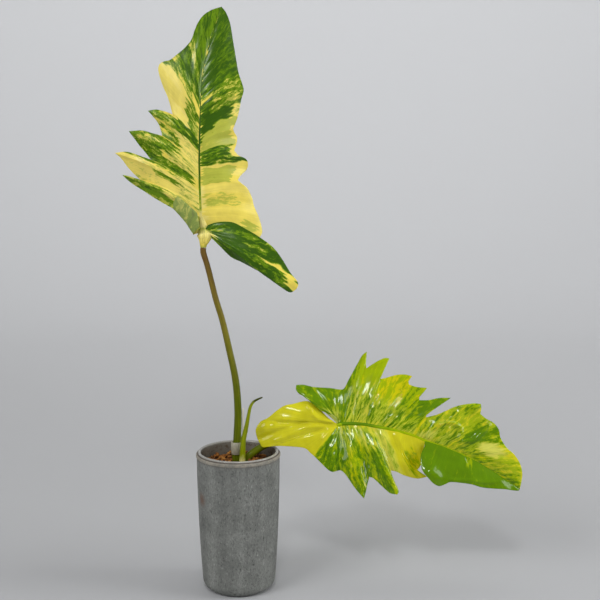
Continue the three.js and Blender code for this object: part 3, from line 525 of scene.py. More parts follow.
class PlanterSettings(bpy.types.PropertyGroup):
    clay: colour("Clay", "Fired grey body", "#737571")
    clay_dark: colour("Clay grit", "Dark grit and pores", "#434541")
    clay_light: colour("Clay sand", "Pale sand grains", "#959691")
    bead: colour("Bead", "Buff ring under the lip", "#918b7f")
    # Brown of the iron lines and specks. In the groove and under the bead it is also painted shade.
    iron: colour("Iron line", "Brown line in the groove", "#4a3a2c")
    lip_glaze: colour("Lip glaze", "Thin grey glaze on the lip", "#95938d")
    # The glaze inside is the lip's glaze painted darker: painted shade inside the planter.
    shaded_inner_glaze: colour("Inner glaze", "Dark glaze inside", "#77736a")
    rust: colour("Rust", "Reddish smudge on the wall", "#6a4e3e")
    smudge: bpy.props.FloatVectorProperty(
        name="Smudge", description="Place of the rusty smudge in millimetres", size=3,
        default=(-31, -18.5, 87))
    grain: length("Grain", "Width of a sand grain, drawn coarse enough to show", 1.4)


class SubstrateSettings(bpy.types.PropertyGroup):
    bark: colour("Bark", "Weathered bark", "#86521c")
    bark_dark: colour("Bark shade", "Damp bark", "#2a190a")
    bark_light: colour("Bark fibre", "Fresh broken fibre", "#c08a3c")
    peat: colour("Peat", "Fine damp bed", "#2c170c")
    chips: bpy.props.IntProperty(
        name="Chips", description="Bark chips on the surface", min=0, max=500, default=340)


class LeafSettings(bpy.types.PropertyGroup):
    thickness: length("Thickness", "Thickness of a blade", 0.7)
    mature_yellow: colour("Mature yellow", "Unpigmented tissue", "#e4d058")
    mature_cream: colour("Mature cream", "Palest tissue", "#e8da84")
    mature_olive: colour("Mature olive", "Half-pigmented tissue", "#b0b444")
    mature_green: colour("Mature green", "Green tissue", "#62840e")
    mature_dark: colour("Mature dark", "Fully pigmented tissue", "#36590c")
    scar: colour("Scar", "Corky torn edge", "#75643a")
    young_yellow: colour("Young yellow", "Unpigmented young tissue", "#c4be04")
    young_cream: colour("Young cream", "Palest young tissue", "#d8d860")
    young_lime: colour("Young lime", "Half-pigmented young tissue", "#94a900")
    young_green: colour("Young green", "Green young tissue", "#5c8200")
    young_dark: colour("Young dark", "Fully pigmented young tissue", "#3f6400")


class StalkSettings(bpy.types.PropertyGroup):
    brown: colour("Brown bark skin", "Ripened skin near the blade", "#6d5028")
    olive: colour("Olive skin", "Skin in the middle of the stalk", "#746c22")
    green: colour("Green skin", "Skin near the surface of the substrate", "#566004")
    young: colour("Young skin", "Skin of the low stalk", "#6b7804")
    sheath: colour("Sheath", "Rolled new leaf", "#7f8a06")
    sheath_pale: colour("Sheath base", "Pale base of the sheath", "#d2cb84")
    dry: colour("Dry tip", "Withered tip", "#3c420e")
    clip: colour("Clip", "Milky plastic", "#a6a28e")
    stick: colour("Stick", "Peeled wood", "#d3cdb6")


class StageSettings(bpy.types.PropertyGroup):
    paper: colour("Paper", "Pale paper sweep", "#b2b3b5")
    sky: colour("Ambient", "Soft light from all round", "#dcdcdb")
    key_power: bpy.props.FloatProperty(
        name="Key", description="Large soft light, front left", subtype="POWER", default=14.5)
    front_power: bpy.props.FloatProperty(
        name="Front", description="Small light high in front, for crisp highlights", subtype="POWER",
        default=5.5)
    fill_power: bpy.props.FloatProperty(
        name="Fill", description="Soft light, right", subtype="POWER", default=17)
    top_power: bpy.props.FloatProperty(
        name="Top", description="Long soft light overhead", subtype="POWER", default=3)
    backdrop_power: bpy.props.FloatProperty(
        name="Backdrop", description="Soft light on the upper part of the paper", subtype="POWER", default=28)
    lens: bpy.props.FloatProperty(
        name="Lens", description="Focal length on a 36 mm sensor", unit="CAMERA", default=62.04)


class PlantSettings(bpy.types.PropertyGroup):
    planter: bpy.props.PointerProperty(type=PlanterSettings)
    substrate: bpy.props.PointerProperty(type=SubstrateSettings)
    leaf: bpy.props.PointerProperty(type=LeafSettings)
    stalk: bpy.props.PointerProperty(type=StalkSettings)
    stage: bpy.props.PointerProperty(type=StageSettings)


def add(tree, kind, inputs=None, stops=None, out=0, **settings):
    """Adds a node with its settings, its ramp's stops, and its inputs' values or links.
    Returns one of its outputs."""
    made = tree.nodes.new(kind)
    for name, value in settings.items():
        setattr(made, name, value)
    for i, (position, tone) in enumerate(stops or []):
        elements = made.color_ramp.elements
        element = elements[i] if i < 2 else elements.new(position)
        element.position = position
        element.color = tone
    for key, value in (inputs or {}).items():
        if isinstance(value, bpy.types.NodeSocket):
            tree.links.new(value, made.inputs[key])
        else:
            made.inputs[key].default_value = value
    return made.outputs[out]


def start_material(name):
    """A new material with an empty tree."""
    material = bpy.data.materials.new(name)
    material.use_nodes = True
    material.node_tree.nodes.clear()
    return material, material.node_tree


def finish_material(tree, **inputs):
    """Ends the tree in a Principled shader with these inputs."""
    named = {key.replace("_", " "): value for key, value in inputs.items()}
    shader = add(tree, "ShaderNodeBsdfPrincipled", named)
    tree.links.new(shader, tree.nodes.new("ShaderNodeOutputMaterial").inputs["Surface"])


def smooth_path(points, step, place=slice(0, 3)):
    """Points about step apart on a smooth curve through a list of points.
    Columns outside place, such as a radius, follow the same curve."""
    points = np.asarray(points, float)
    chords = np.linalg.norm(np.diff(points[:, place], axis=0), axis=1)
    knots = np.concatenate([[0], np.cumsum(np.sqrt(chords))])
    last = len(points) - 1
    slopes = []
    for i in range(len(points)):
        before, after = max(0, i - 1), min(last, i + 1)
        slopes.append((points[after] - points[before]) / (knots[after] - knots[before]))
    made = [points[0]]
    for i in range(last):
        width = knots[i + 1] - knots[i]
        count = max(1, round(chords[i] / step))
        for k in range(1, count + 1):
            t = k / count
            made.append(
                (2 * t**3 - 3 * t**2 + 1) * points[i] + (t**3 - 2 * t**2 + t) * width * slopes[i]
                + (3 * t**2 - 2 * t**3) * points[i + 1] + (t**3 - t**2) * width * slopes[i + 1])
    return np.array(made)


def smooth_margin(stations):
    """Stations along a margin, smooth between its sharp tips and notches.
    Columns: station number, distance up the midrib, and place."""
    rows = np.array([(number, *station) for number, station in enumerate(stations)], float)
    steps = np.diff(rows[:, 2:5], axis=0)
    steps /= np.linalg.norm(steps, axis=1)[:, None]
    turns = np.degrees(np.arccos(np.clip(np.sum(steps[1:] * steps[:-1], axis=1), -1, 1)))
    corners = [0, *(np.nonzero(turns > CORNER_ANGLE)[0] + 1), len(rows) - 1]
    runs = [smooth_path(rows[a:b + 1], MARGIN_STEP, slice(2, 5)) for a, b in zip(corners, corners[1:])]
    return np.concatenate([runs[0], *(run[1:] for run in runs[1:])])


class Midrib:
    """The line that a blade's veins leave, measured in millimetres along it."""

    def __init__(self, points):
        self.points = smooth_path(points, 1.0) if len(points) > 1 else np.array(points, float)
        steps = np.linalg.norm(np.diff(self.points, axis=0), axis=1)
        self.distances = np.concatenate([[0], np.cumsum(steps)])
        self.length = self.distances[-1]

    def at(self, along):
        """Places at distances along the midrib."""
        return np.stack([np.interp(along, self.distances, self.points[:, i]) for i in range(3)], -1)

    def direction(self, along):
        """Headings at distances along the midrib, or none where it is a single point."""
        if not self.length:
            return np.zeros((len(along), 3))
        inside = np.clip(along, 1, self.length - 1)
        step = self.at(inside + 1) - self.at(inside - 1)
        return step / np.linalg.norm(step, axis=1)[:, None]


def across(step, heading):
    """Length of what a step has at right angles to a heading."""
    return np.linalg.norm(step - np.sum(step * heading, axis=1)[:, None] * heading, axis=1)


def lateral_distances(root, margin):
    """How far each strip lies from the first one, measured across the veins."""
    heading = margin - root
    heading /= np.maximum(np.linalg.norm(heading, axis=1), 1e-9)[:, None]
    middle = (heading[1:] + heading[:-1]) / 2
    widths = (across(np.diff(root, axis=0), middle) + across(np.diff(margin, axis=0), middle)) / 2
    return np.concatenate([[0], np.cumsum(widths)])


def grid_normals(grid):
    """Unit normals of a grid of points. Its first column may be a single point, so that
    column takes the normals of the next one."""
    normals = np.cross(np.gradient(grid, axis=0), np.gradient(grid, axis=1))
    size = np.linalg.norm(normals, axis=2)
    normals[:, 0] = normals[:, 1]
    size[:, 0] = size[:, 1]
    return normals / np.maximum(size, 1e-12)[:, :, None]


def noise_field(*axes):
    """Smooth noise at the points that three arrays give."""
    shaped = np.broadcast_arrays(*axes)
    flat = zip(*(axis.ravel() for axis in shaped))
    return np.array([noise.noise(Vector(point)) for point in flat]).reshape(shaped[0].shape)


def smooth_step(value, edge, softness):
    """0 below an edge, 1 above it, smooth over the softness on both sides."""
    t = np.clip((value - edge) / (2 * softness) + 0.5, 0, 1)
    return t * t * (3 - 2 * t)


def leaf_noise(kind, lateral, distance, seed):
    """Smooth noise on a blade, with its own lengths across and along the veins."""
    amount, wide, long = kind
    return amount * noise_field(lateral / wide, distance / long, np.full_like(lateral, seed))


def paint_sectors(sectors, number, reach, lateral, distance, blend, seed):
    """Pigment, marbling, cream and place among the veins at each point of a strip grid."""
    beside, along = blend
    number = number + leaf_noise(SECTOR_WOBBLE, lateral, distance, seed)
    reach = reach + leaf_noise(RAGGED_REACH, lateral, distance, seed + 7.5)
    fields = np.zeros((3, *number.shape))
    for first, last, inner, outer, *target in sectors:
        cover = smooth_step(number, first, beside) * (1 - smooth_step(number, last, beside))
        cover *= smooth_step(reach, inner, along) * (1 - smooth_step(reach, outer, along))
        for field, value in zip(fields, target):
            field += cover * (value - field)
    painted = dict(zip(("pigment", "marbling", "cream"), fields))
    painted["vein_place"] = np.stack([lateral, distance, np.full_like(lateral, seed * 10)], -1)
    return painted


class Shell:
    """Closed surfaces collected for one mesh, with values at their points."""

    def __init__(self):
        self.points = []
        self.faces = []
        self.slots = []
        self.fields = {}
        self.count = 0

    def add(self, points, faces, slots=0, **fields):
        """Adds a surface, with one material slot for all its faces or one for each."""
        points = np.asarray(points, float).reshape(-1, 3)
        self.faces += [tuple(corner + self.count for corner in face) for face in faces]
        self.slots += list(slots) if hasattr(slots, "__len__") else [slots] * len(faces)
        for name, values in fields.items():
            self.fields.setdefault(name, []).append(np.asarray(values, float))
        self.points.append(points)
        self.count += len(points)

    def mesh(self, name, matrix=None):
        """The collected surfaces as one smooth-shaded mesh in metres."""
        points = np.concatenate(self.points)
        if matrix is not None:
            points = points @ np.array(matrix.to_3x3()).T + np.array(matrix.translation)
        mesh = bpy.data.meshes.new(name)
        mesh.from_pydata((points * MM).tolist(), [], self.faces)
        mesh.polygons.foreach_set("material_index", self.slots)
        mesh.polygons.foreach_set("use_smooth", [True] * len(self.faces))
        self.fields["place_mm"] = [points]
        for field, parts in self.fields.items():
            values = np.concatenate(parts)
            kind, key = ("FLOAT_VECTOR", "vector") if values.ndim == 2 else ("FLOAT", "value")
            mesh.attributes.new(field, kind, "POINT").data.foreach_set(key, values.ravel().astype(np.float32))
        tidy = bmesh.new()
        tidy.from_mesh(mesh)
        bmesh.ops.remove_doubles(tidy, verts=tidy.verts, dist=WELD * MM)
        bmesh.ops.dissolve_degenerate(tidy, edges=tidy.edges, dist=SHORTEST_EDGE * MM)
        tidy.to_mesh(mesh)
        tidy.free()
        return mesh


def set_piece(name, mesh, materials, nodes):
    """Puts a piece in the scene: it rides on the plant's one body, and the CAD parts of its nodes are hidden.
    """
    piece = bpy.data.objects.new(name, mesh)
    bpy.context.scene.collection.objects.link(piece)
    for material in materials:
        mesh.materials.append(material)
    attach(piece, "root")
    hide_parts(*nodes)


def add_sheet(shell, grid, half, normals, flip, fields):
    """Adds a thin closed sheet round a grid of points: upper side, lower side and rim."""
    rows, columns = grid.shape[:2]
    upper = grid + normals * half[..., None]
    lower = grid - normals * half[..., None]
    total = rows * columns
    faces, slots = [], []

    def quad(a, b, c, d, slot):
        faces.append((a, d, c, b) if flip else (a, b, c, d))
        slots.append(slot)

    for j in range(rows - 1):
        for k in range(columns - 1):
            a = j * columns + k
            quad(a, a + columns, a + columns + 1, a + 1, 0)
            quad(total + a, total + a + 1, total + a + columns + 1, total + a + columns, 1)
    for j in range(rows - 1):
        a = j * columns
        quad(a, total + a, total + a + columns, a + columns, 0)
        a += columns - 1
        quad(a, a + columns, total + a + columns, total + a, 0)
    for k in range(columns - 1):
        quad(k, k + 1, total + k + 1, total + k, 0)
        a = (rows - 1) * columns + k
        quad(a, total + a, total + a + 1, a + 1, 0)
    doubled = {
        name: np.concatenate([values.reshape(total, -1)] * 2).squeeze() for name, values in fields.items()}
    shell.add(np.concatenate([upper.reshape(-1, 3), lower.reshape(-1, 3)]), faces, slots, **doubled)


def line_distance(place, line):
    """Distance in a blade's plane from each place to a polyline."""
    nearest = np.full(place.shape[:-1], np.inf)
    for start, end in zip(line, line[1:]):
        start, step = np.array(start), np.subtract(end, start)
        share = np.clip(((place - start) @ step) / (step @ step), 0, 1)
        nearest = np.minimum(nearest, np.linalg.norm(place - start - share[..., None] * step, axis=-1))
    return nearest


def relief(lateral, distance, reach, grid, leaf, ridges, marbling, seed):
    """How far the upper side stands out: quilted between veins, soft waves, ridges and creases.
    Marbled tissue puckers, since its tones grow unevenly, and plain tissue lies smooth."""
    phase = lateral / VEIN_SPACING + leaf_noise(VEIN_DRIFT, lateral, distance, seed)
    quilt = (0.5 - 0.5 * np.cos(2 * math.pi * phase)) ** 0.8
    quilt *= 0.6 + leaf_noise(QUILT_CHANGE, lateral, distance, seed + 3)
    window = smooth_step(reach, QUILT_EASE, QUILT_EASE) * (1 - 0.5 * smooth_step(reach, 0.85, 0.15))
    offset = (phase - np.round(phase)) * VEIN_SPACING
    groove = np.exp(-(offset / VEIN_GROOVE_WIDTH) ** 2) * (1 - reach)
    groove *= smooth_step(reach, GROOVE_EASE, GROOVE_EASE)
    waves = noise_field(*(grid[..., i] / leaf["wave_length"] + seed for i in range(3)))
    rise = leaf["quilt"] * (quilt * window - VEIN_GROOVE * groove)
    rise += leaf["wave"] * (0.15 + 0.85 * marbling) * waves * smooth_step(reach, WAVE_EASE, WAVE_EASE)
    pucker = leaf_noise(PUCKER, lateral, distance, seed + 11)
    rise += leaf["pucker"] * marbling * pucker * smooth_step(reach, PUCKER_EASE, PUCKER_EASE)
    for line, height, width in ridges:
        rise += height * np.exp(-(line_distance(grid[..., [0, 2]], line) / width) ** 2)
    return rise


def strip_roots(rib, along, notch):
    """Where strips start: on the midrib, or past its end on the edge of a notch."""
    edge = np.array([rib.points[0], *notch])
    past = np.clip(-along, 0, len(notch))
    on_edge = np.stack([np.interp(past, np.arange(len(edge)), edge[:, i]) for i in range(3)], -1)
    return np.where(along[:, None] < 0, on_edge, rib.at(along))


def add_half(
        shell, rib, stations, leaf, sectors, thickness, seed, flip=False,
        ridges=(), fold=None, notch=(), bends=((0, 0),)):
    """Adds one half of a blade, in strips that follow its veins, and its folded edge.
    The bends say how far the strips from each place on the midrib bow to the base."""
    rows = smooth_margin(stations)
    root = strip_roots(rib, rows[:, 1], notch)
    margin = rows[:, 2:5]
    span = np.linalg.norm(margin - root, axis=1)
    rim = np.minimum(np.array(RIM_DISTANCES)[None], RIM_SHARE * span[:, None])
    rim /= np.maximum(span, 1e-6)[:, None]
    inner = np.linspace(0, 1, leaf["columns"], endpoint=False)[None] * (1 - rim[:, :1])
    reach = np.concatenate([inner, 1 - rim], axis=1)
    bow = span[:, None] * reach * (1 - reach)
    grid = root[:, None] * (1 - reach)[..., None] + margin[:, None] * reach[..., None]
    grid += 2 * leaf["arch"] * bow[..., None] * rib.direction(rows[:, 1])[:, None]
    grid[..., 1] += 4 * leaf["camber"] * bow
    grid[..., 0] -= 4 * np.interp(rows[:, 1], *zip(*bends))[:, None] * reach * (1 - reach)
    lateral = np.broadcast_to(lateral_distances(root, margin)[:, None], reach.shape)
    distance = reach * span[:, None]
    number = np.broadcast_to(rows[:, :1], reach.shape)
    normals = grid_normals(grid) * (-1 if flip else 1)
    fields = paint_sectors(sectors, number, reach, lateral, distance, leaf["blend"], seed)
    rise = relief(lateral, distance, reach, grid, leaf, ridges, fields["marbling"], seed)
    grid = grid + normals * rise[..., None]
    taper = np.concatenate([np.ones(leaf["columns"]), RIM_THICKNESS])[None] * np.ones_like(reach)
    if fold is not None:
        folded = rows[:, 0] >= TALL_FOLD_START
        taper[folded] = 1
    add_sheet(shell, grid, taper * thickness / 2, normals, flip, fields)
    if fold is not None:
        add_fold(shell, grid[folded], rows[folded], fields["vein_place"][folded], fold, thickness, flip)


def add_fold(shell, grid, rows, vein_place, edge, thickness, flip):
    """Carries a blade on from its margin, round a bend, to a free edge."""
    numbers = TALL_FOLD_START + np.arange(len(edge))
    edge = np.asarray(edge, float)
    end = np.stack([np.interp(rows[:, 0], numbers, edge[:, i]) for i in range(3)], -1)
    start = grid[:, -1]
    turn = start * (1 + FOLD_OVERSHOOT) - end * FOLD_OVERSHOOT
    turn[:, 1] = start[:, 1] - FOLD_REACH
    t = np.linspace(0, 1, FOLD_COLUMNS)[None, :, None]
    bend = (1 - t) ** 2 * start[:, None] + 2 * t * (1 - t) * turn[:, None] + t * t * end[:, None]
    normals = grid_normals(bend) * (-1 if flip else 1)
    half = np.full(bend.shape[:2], thickness / 2)
    half[:, -1] *= FOLD_EDGE_THICKNESS
    reach = np.broadcast_to(t[..., 0], bend.shape[:2])
    lateral = np.broadcast_to(vein_place[:, -1, 0][:, None], bend.shape[:2])
    distance = vein_place[:, -1, 1][:, None] + reach * np.linalg.norm(end - start, axis=1)[:, None]
    number = np.broadcast_to(rows[:, :1], bend.shape[:2])
    fields = paint_sectors(
        TALL_FOLD_SECTORS, number, reach, lateral, distance, TALL_LEAF["blend"], FOLD_SEED)
    add_sheet(shell, bend, half, normals, flip, fields)


def rod_frames(centres):
    """Two directions across a path at each of its points, without twist."""
    heading = np.gradient(centres, axis=0)
    heading /= np.linalg.norm(heading, axis=1)[:, None]
    side = np.cross(heading[0], (0, 1, 0))
    sides = []
    for way in heading:
        side = side - np.dot(side, way) * way
        side = side / np.linalg.norm(side)
        sides.append(side)
    sides = np.array(sides)
    return sides, np.cross(heading, sides)


def ring_faces(rings, sides):
    """Quads between neighbouring rings of points."""
    faces = []
    for j in range(rings - 1):
        for k in range(sides):
            a, b = j * sides + k, j * sides + (k + 1) % sides
            faces.append((a, b, b + sides, a + sides))
    return faces


def capped_faces(rings, sides):
    """Faces of a closed tube: its quads and a cap at each end."""
    last = (rings - 1) * sides
    return [*ring_faces(rings, sides), tuple(reversed(range(sides))), tuple(range(last, last + sides))]


def add_rod(shell, rows, sides, shape=None, slot=0):
    """Adds a closed rod along rows of place and radius. The shape changes the radius by the
    turn round the rod and the share of its length."""
    centres, radius = rows[:, :3], rows[:, 3]
    side, up = rod_frames(centres)
    steps = np.linalg.norm(np.diff(centres, axis=0), axis=1)
    run = np.concatenate([[0], np.cumsum(steps)])
    share = np.broadcast_to((run / run[-1])[:, None], (len(rows), sides))
    turn = np.broadcast_to(np.arange(sides)[None] / sides * 2 * math.pi, (len(rows), sides))
    scale = np.ones_like(turn) if shape is None else shape(turn, share)
    reach = radius[:, None] * scale
    ring = centres[:, None] + reach[..., None] * (
        np.cos(turn)[..., None] * side[:, None] + np.sin(turn)[..., None] * up[:, None])
    around = np.stack([np.cos(turn) * reach, np.sin(turn) * reach, run[:, None] + 0 * turn], -1)
    shell.add(
        ring, capped_faces(len(rows), sides), slot, share=share.ravel(), rod_place=around.reshape(-1, 3))


def leaf_matrix(leaf):
    """From a blade's own plane to its place in the plant."""
    return Matrix.Translation(leaf["place"]) @ Matrix.Rotation(-math.radians(leaf["lean"]), 4, "X")


# In the materials, inputs 1 to 4 of a map range are the span that it takes and the span
# that it gives, and inputs 6 and 7 of a mix are its two colours.
def leaf_tone(tree, tones, limits, streak_width):
    """Colour of leaf tissue: sectors broken into streaks that run along the veins.
    Between the limits of pigment one tone runs into the next."""
    yellow, cream, olive, green, dark = tones
    place = add(tree, "ShaderNodeAttribute", attribute_name="vein_place", out="Vector")
    pigment, marbling, paleness = (
        add(tree, "ShaderNodeAttribute", attribute_name=name, out="Fac")
        for name in ("pigment", "marbling", "cream"))
    sway = add(
        tree, "ShaderNodeTexNoise", {"Vector": place, "Scale": 1 / VEIN_SWAY, "Detail": 3.0}, out="Color")
    bent = add(
        tree, "ShaderNodeVectorMath", {0: sway, 1: (VEIN_SWAY_REACH, 0, 0), 2: place},
        operation="MULTIPLY_ADD")
    long_place = add(tree, "ShaderNodeVectorMath", {0: bent, 1: (1, 0.12, 1)}, operation="MULTIPLY")
    fleck_place = add(tree, "ShaderNodeVectorMath", {0: bent, 1: (1, 0.35, 1)}, operation="MULTIPLY")
    broad = add(
        tree, "ShaderNodeTexNoise",
        {"Vector": long_place, "Scale": 1 / streak_width, "Detail": 5.0, "Roughness": 0.7})
    flecks = add(
        tree, "ShaderNodeTexNoise",
        {"Vector": fleck_place, "Scale": 1.5 / streak_width, "Detail": 4.0, "Roughness": 0.7})
    streaks = add(tree, "ShaderNodeMix", {0: 0.4, 2: broad, 3: flecks}, data_type="FLOAT")
    centred = add(tree, "ShaderNodeMath", {0: streaks, 1: 0.5}, operation="SUBTRACT")
    spread = add(tree, "ShaderNodeMath", {0: centred, 1: 3.0}, operation="MULTIPLY")
    reach = add(tree, "ShaderNodeMath", {0: marbling, 1: 0.9, 2: 0.1}, operation="MULTIPLY_ADD")
    level = add(tree, "ShaderNodeMath", {0: spread, 1: reach, 2: pigment}, operation="MULTIPLY_ADD")
    tone = add(
        tree, "ShaderNodeValToRGB", {0: level},
        stops=[(0.0, yellow), *zip(limits, (yellow, olive, olive, green, green, dark)), (1.0, dark)])
    pale_part = add(tree, "ShaderNodeMapRange", {0: level, 1: 0.25, 2: 0.6, 3: 1.0, 4: 0.0})
    pale = add(tree, "ShaderNodeMath", {0: pale_part, 1: paleness}, operation="MULTIPLY")
    creamy = add(tree, "ShaderNodeMix", {0: pale, 6: tone, 7: cream}, data_type="RGBA", out=2)
    cloud = add(tree, "ShaderNodeTexNoise", {"Vector": place, "Scale": 1 / TONE_CLOUD, "Detail": 2.0})
    shade = add(tree, "ShaderNodeMapRange", {0: cloud, 1: 0.3, 2: 0.7, 3: 0.9, 4: 1.08})
    thread_place = add(tree, "ShaderNodeVectorMath", {0: place, 1: (1, 0.02, 1)}, operation="MULTIPLY")
    threads = add(
        tree, "ShaderNodeTexNoise", {"Vector": thread_place, "Scale": 1 / VEIN_THREAD, "Detail": 2.0})
    lines = add(tree, "ShaderNodeMapRange", {0: threads, 1: 0.3, 2: 0.7, 3: 0.93, 4: 1.06})
    value = add(tree, "ShaderNodeMath", {0: shade, 1: lines}, operation="MULTIPLY")
    shaded = add(tree, "ShaderNodeHueSaturation", {"Value": value, "Color": creamy})
    return shaded, threads


def waxy_upper_skin(name, tones, limits, streak_width, roughness, specular, coat, coat_roughness):
    """Living leaf skin under a thin wax: wet-looking gloss over fine parallel veins."""
    material, tree = start_material(name)
    tone, threads = leaf_tone(tree, tones, limits, streak_width)
    place = add(tree, "ShaderNodeAttribute", attribute_name="place_mm", out="Vector")
    cells = add(tree, "ShaderNodeTexNoise", {"Vector": place, "Scale": 1 / SKIN_CELL, "Detail": 3.0})
    height = add(tree, "ShaderNodeMix", {0: 0.5, 2: threads, 3: cells}, data_type="FLOAT")
    bump = add(tree, "ShaderNodeBump", {"Strength": 0.35, "Distance": 0.35 * MM, "Height": height})
    gloss = add(
        tree, "ShaderNodeMapRange",
        {0: cells, 1: 0.3, 2: 0.7, 3: roughness - 0.05, 4: roughness + 0.07})
    finish_material(
        tree, Base_Color=tone, Roughness=gloss, Normal=bump, IOR=1.4, Specular_IOR_Level=specular,
        Specular_Tint=linear(WAX_TINT), Coat_Weight=coat, Coat_Roughness=coat_roughness,
        Subsurface_Weight=0.08, Subsurface_Radius=(1.0, 0.9, 0.2), Subsurface_Scale=1.0 * MM)
    return material


def matte_lower_skin(name, tones, limits, streak_width):
    """The underside of a leaf: no wax, paler and greyer, with the veins standing out."""
    material, tree = start_material(name)
    tone, threads = leaf_tone(tree, tones, limits, streak_width)
    bloom = add(
        tree, "ShaderNodeMix", {0: 0.42, 6: tone, 7: linear(UNDERSIDE_BLOOM)}, data_type="RGBA", out=2)
    bump = add(tree, "ShaderNodeBump", {"Strength": 0.5, "Distance": 0.4 * MM, "Height": threads})
    finish_material(
        tree, Base_Color=bloom, Roughness=0.55, Normal=bump, IOR=1.42, Subsurface_Weight=0.1,
        Subsurface_Radius=(1.0, 0.9, 0.3), Subsurface_Scale=1.2 * MM)
    return material


def ribbed_skin(name, stops, roughness=0.45, coat=0.08):
    """Smooth stalk skin: long fine fibres, its colour changing up the stalk."""
    material, tree = start_material(name)
    place = add(tree, "ShaderNodeAttribute", attribute_name="rod_place", out="Vector")
    share = add(tree, "ShaderNodeAttribute", attribute_name="share", out="Fac")
    fibre_place = add(tree, "ShaderNodeVectorMath", {0: place, 1: (1, 1, 0.05)}, operation="MULTIPLY")
    fibres = add(
        tree, "ShaderNodeTexNoise",
        {"Vector": fibre_place, "Scale": 1 / STALK_FIBRE, "Detail": 4.0, "Roughness": 0.65})
    blotches = add(tree, "ShaderNodeTexNoise", {"Vector": place, "Scale": 1 / STALK_BLOTCH, "Detail": 3.0})
    centred = add(tree, "ShaderNodeMath", {0: blotches, 1: 0.5}, operation="SUBTRACT")
    moved = add(tree, "ShaderNodeMath", {0: centred, 1: 0.25, 2: share}, operation="MULTIPLY_ADD")
    tone = add(tree, "ShaderNodeValToRGB", {0: moved}, stops=stops)
    value = add(tree, "ShaderNodeMapRange", {0: fibres, 1: 0.32, 2: 0.68, 3: 0.66, 4: 1.3})
    shaded = add(tree, "ShaderNodeHueSaturation", {"Value": value, "Color": tone})
    bump = add(tree, "ShaderNodeBump", {"Strength": 0.4, "Distance": 0.25 * MM, "Height": fibres})
    finish_material(
        tree, Base_Color=shaded, Roughness=roughness, Normal=bump, IOR=1.45, Specular_IOR_Level=0.2,
        Specular_Tint=linear(WAX_TINT), Coat_Weight=coat, Coat_Roughness=0.15, Subsurface_Weight=0.05,
        Subsurface_Radius=(1.0, 0.8, 0.3), Subsurface_Scale=1.0 * MM)
    return material


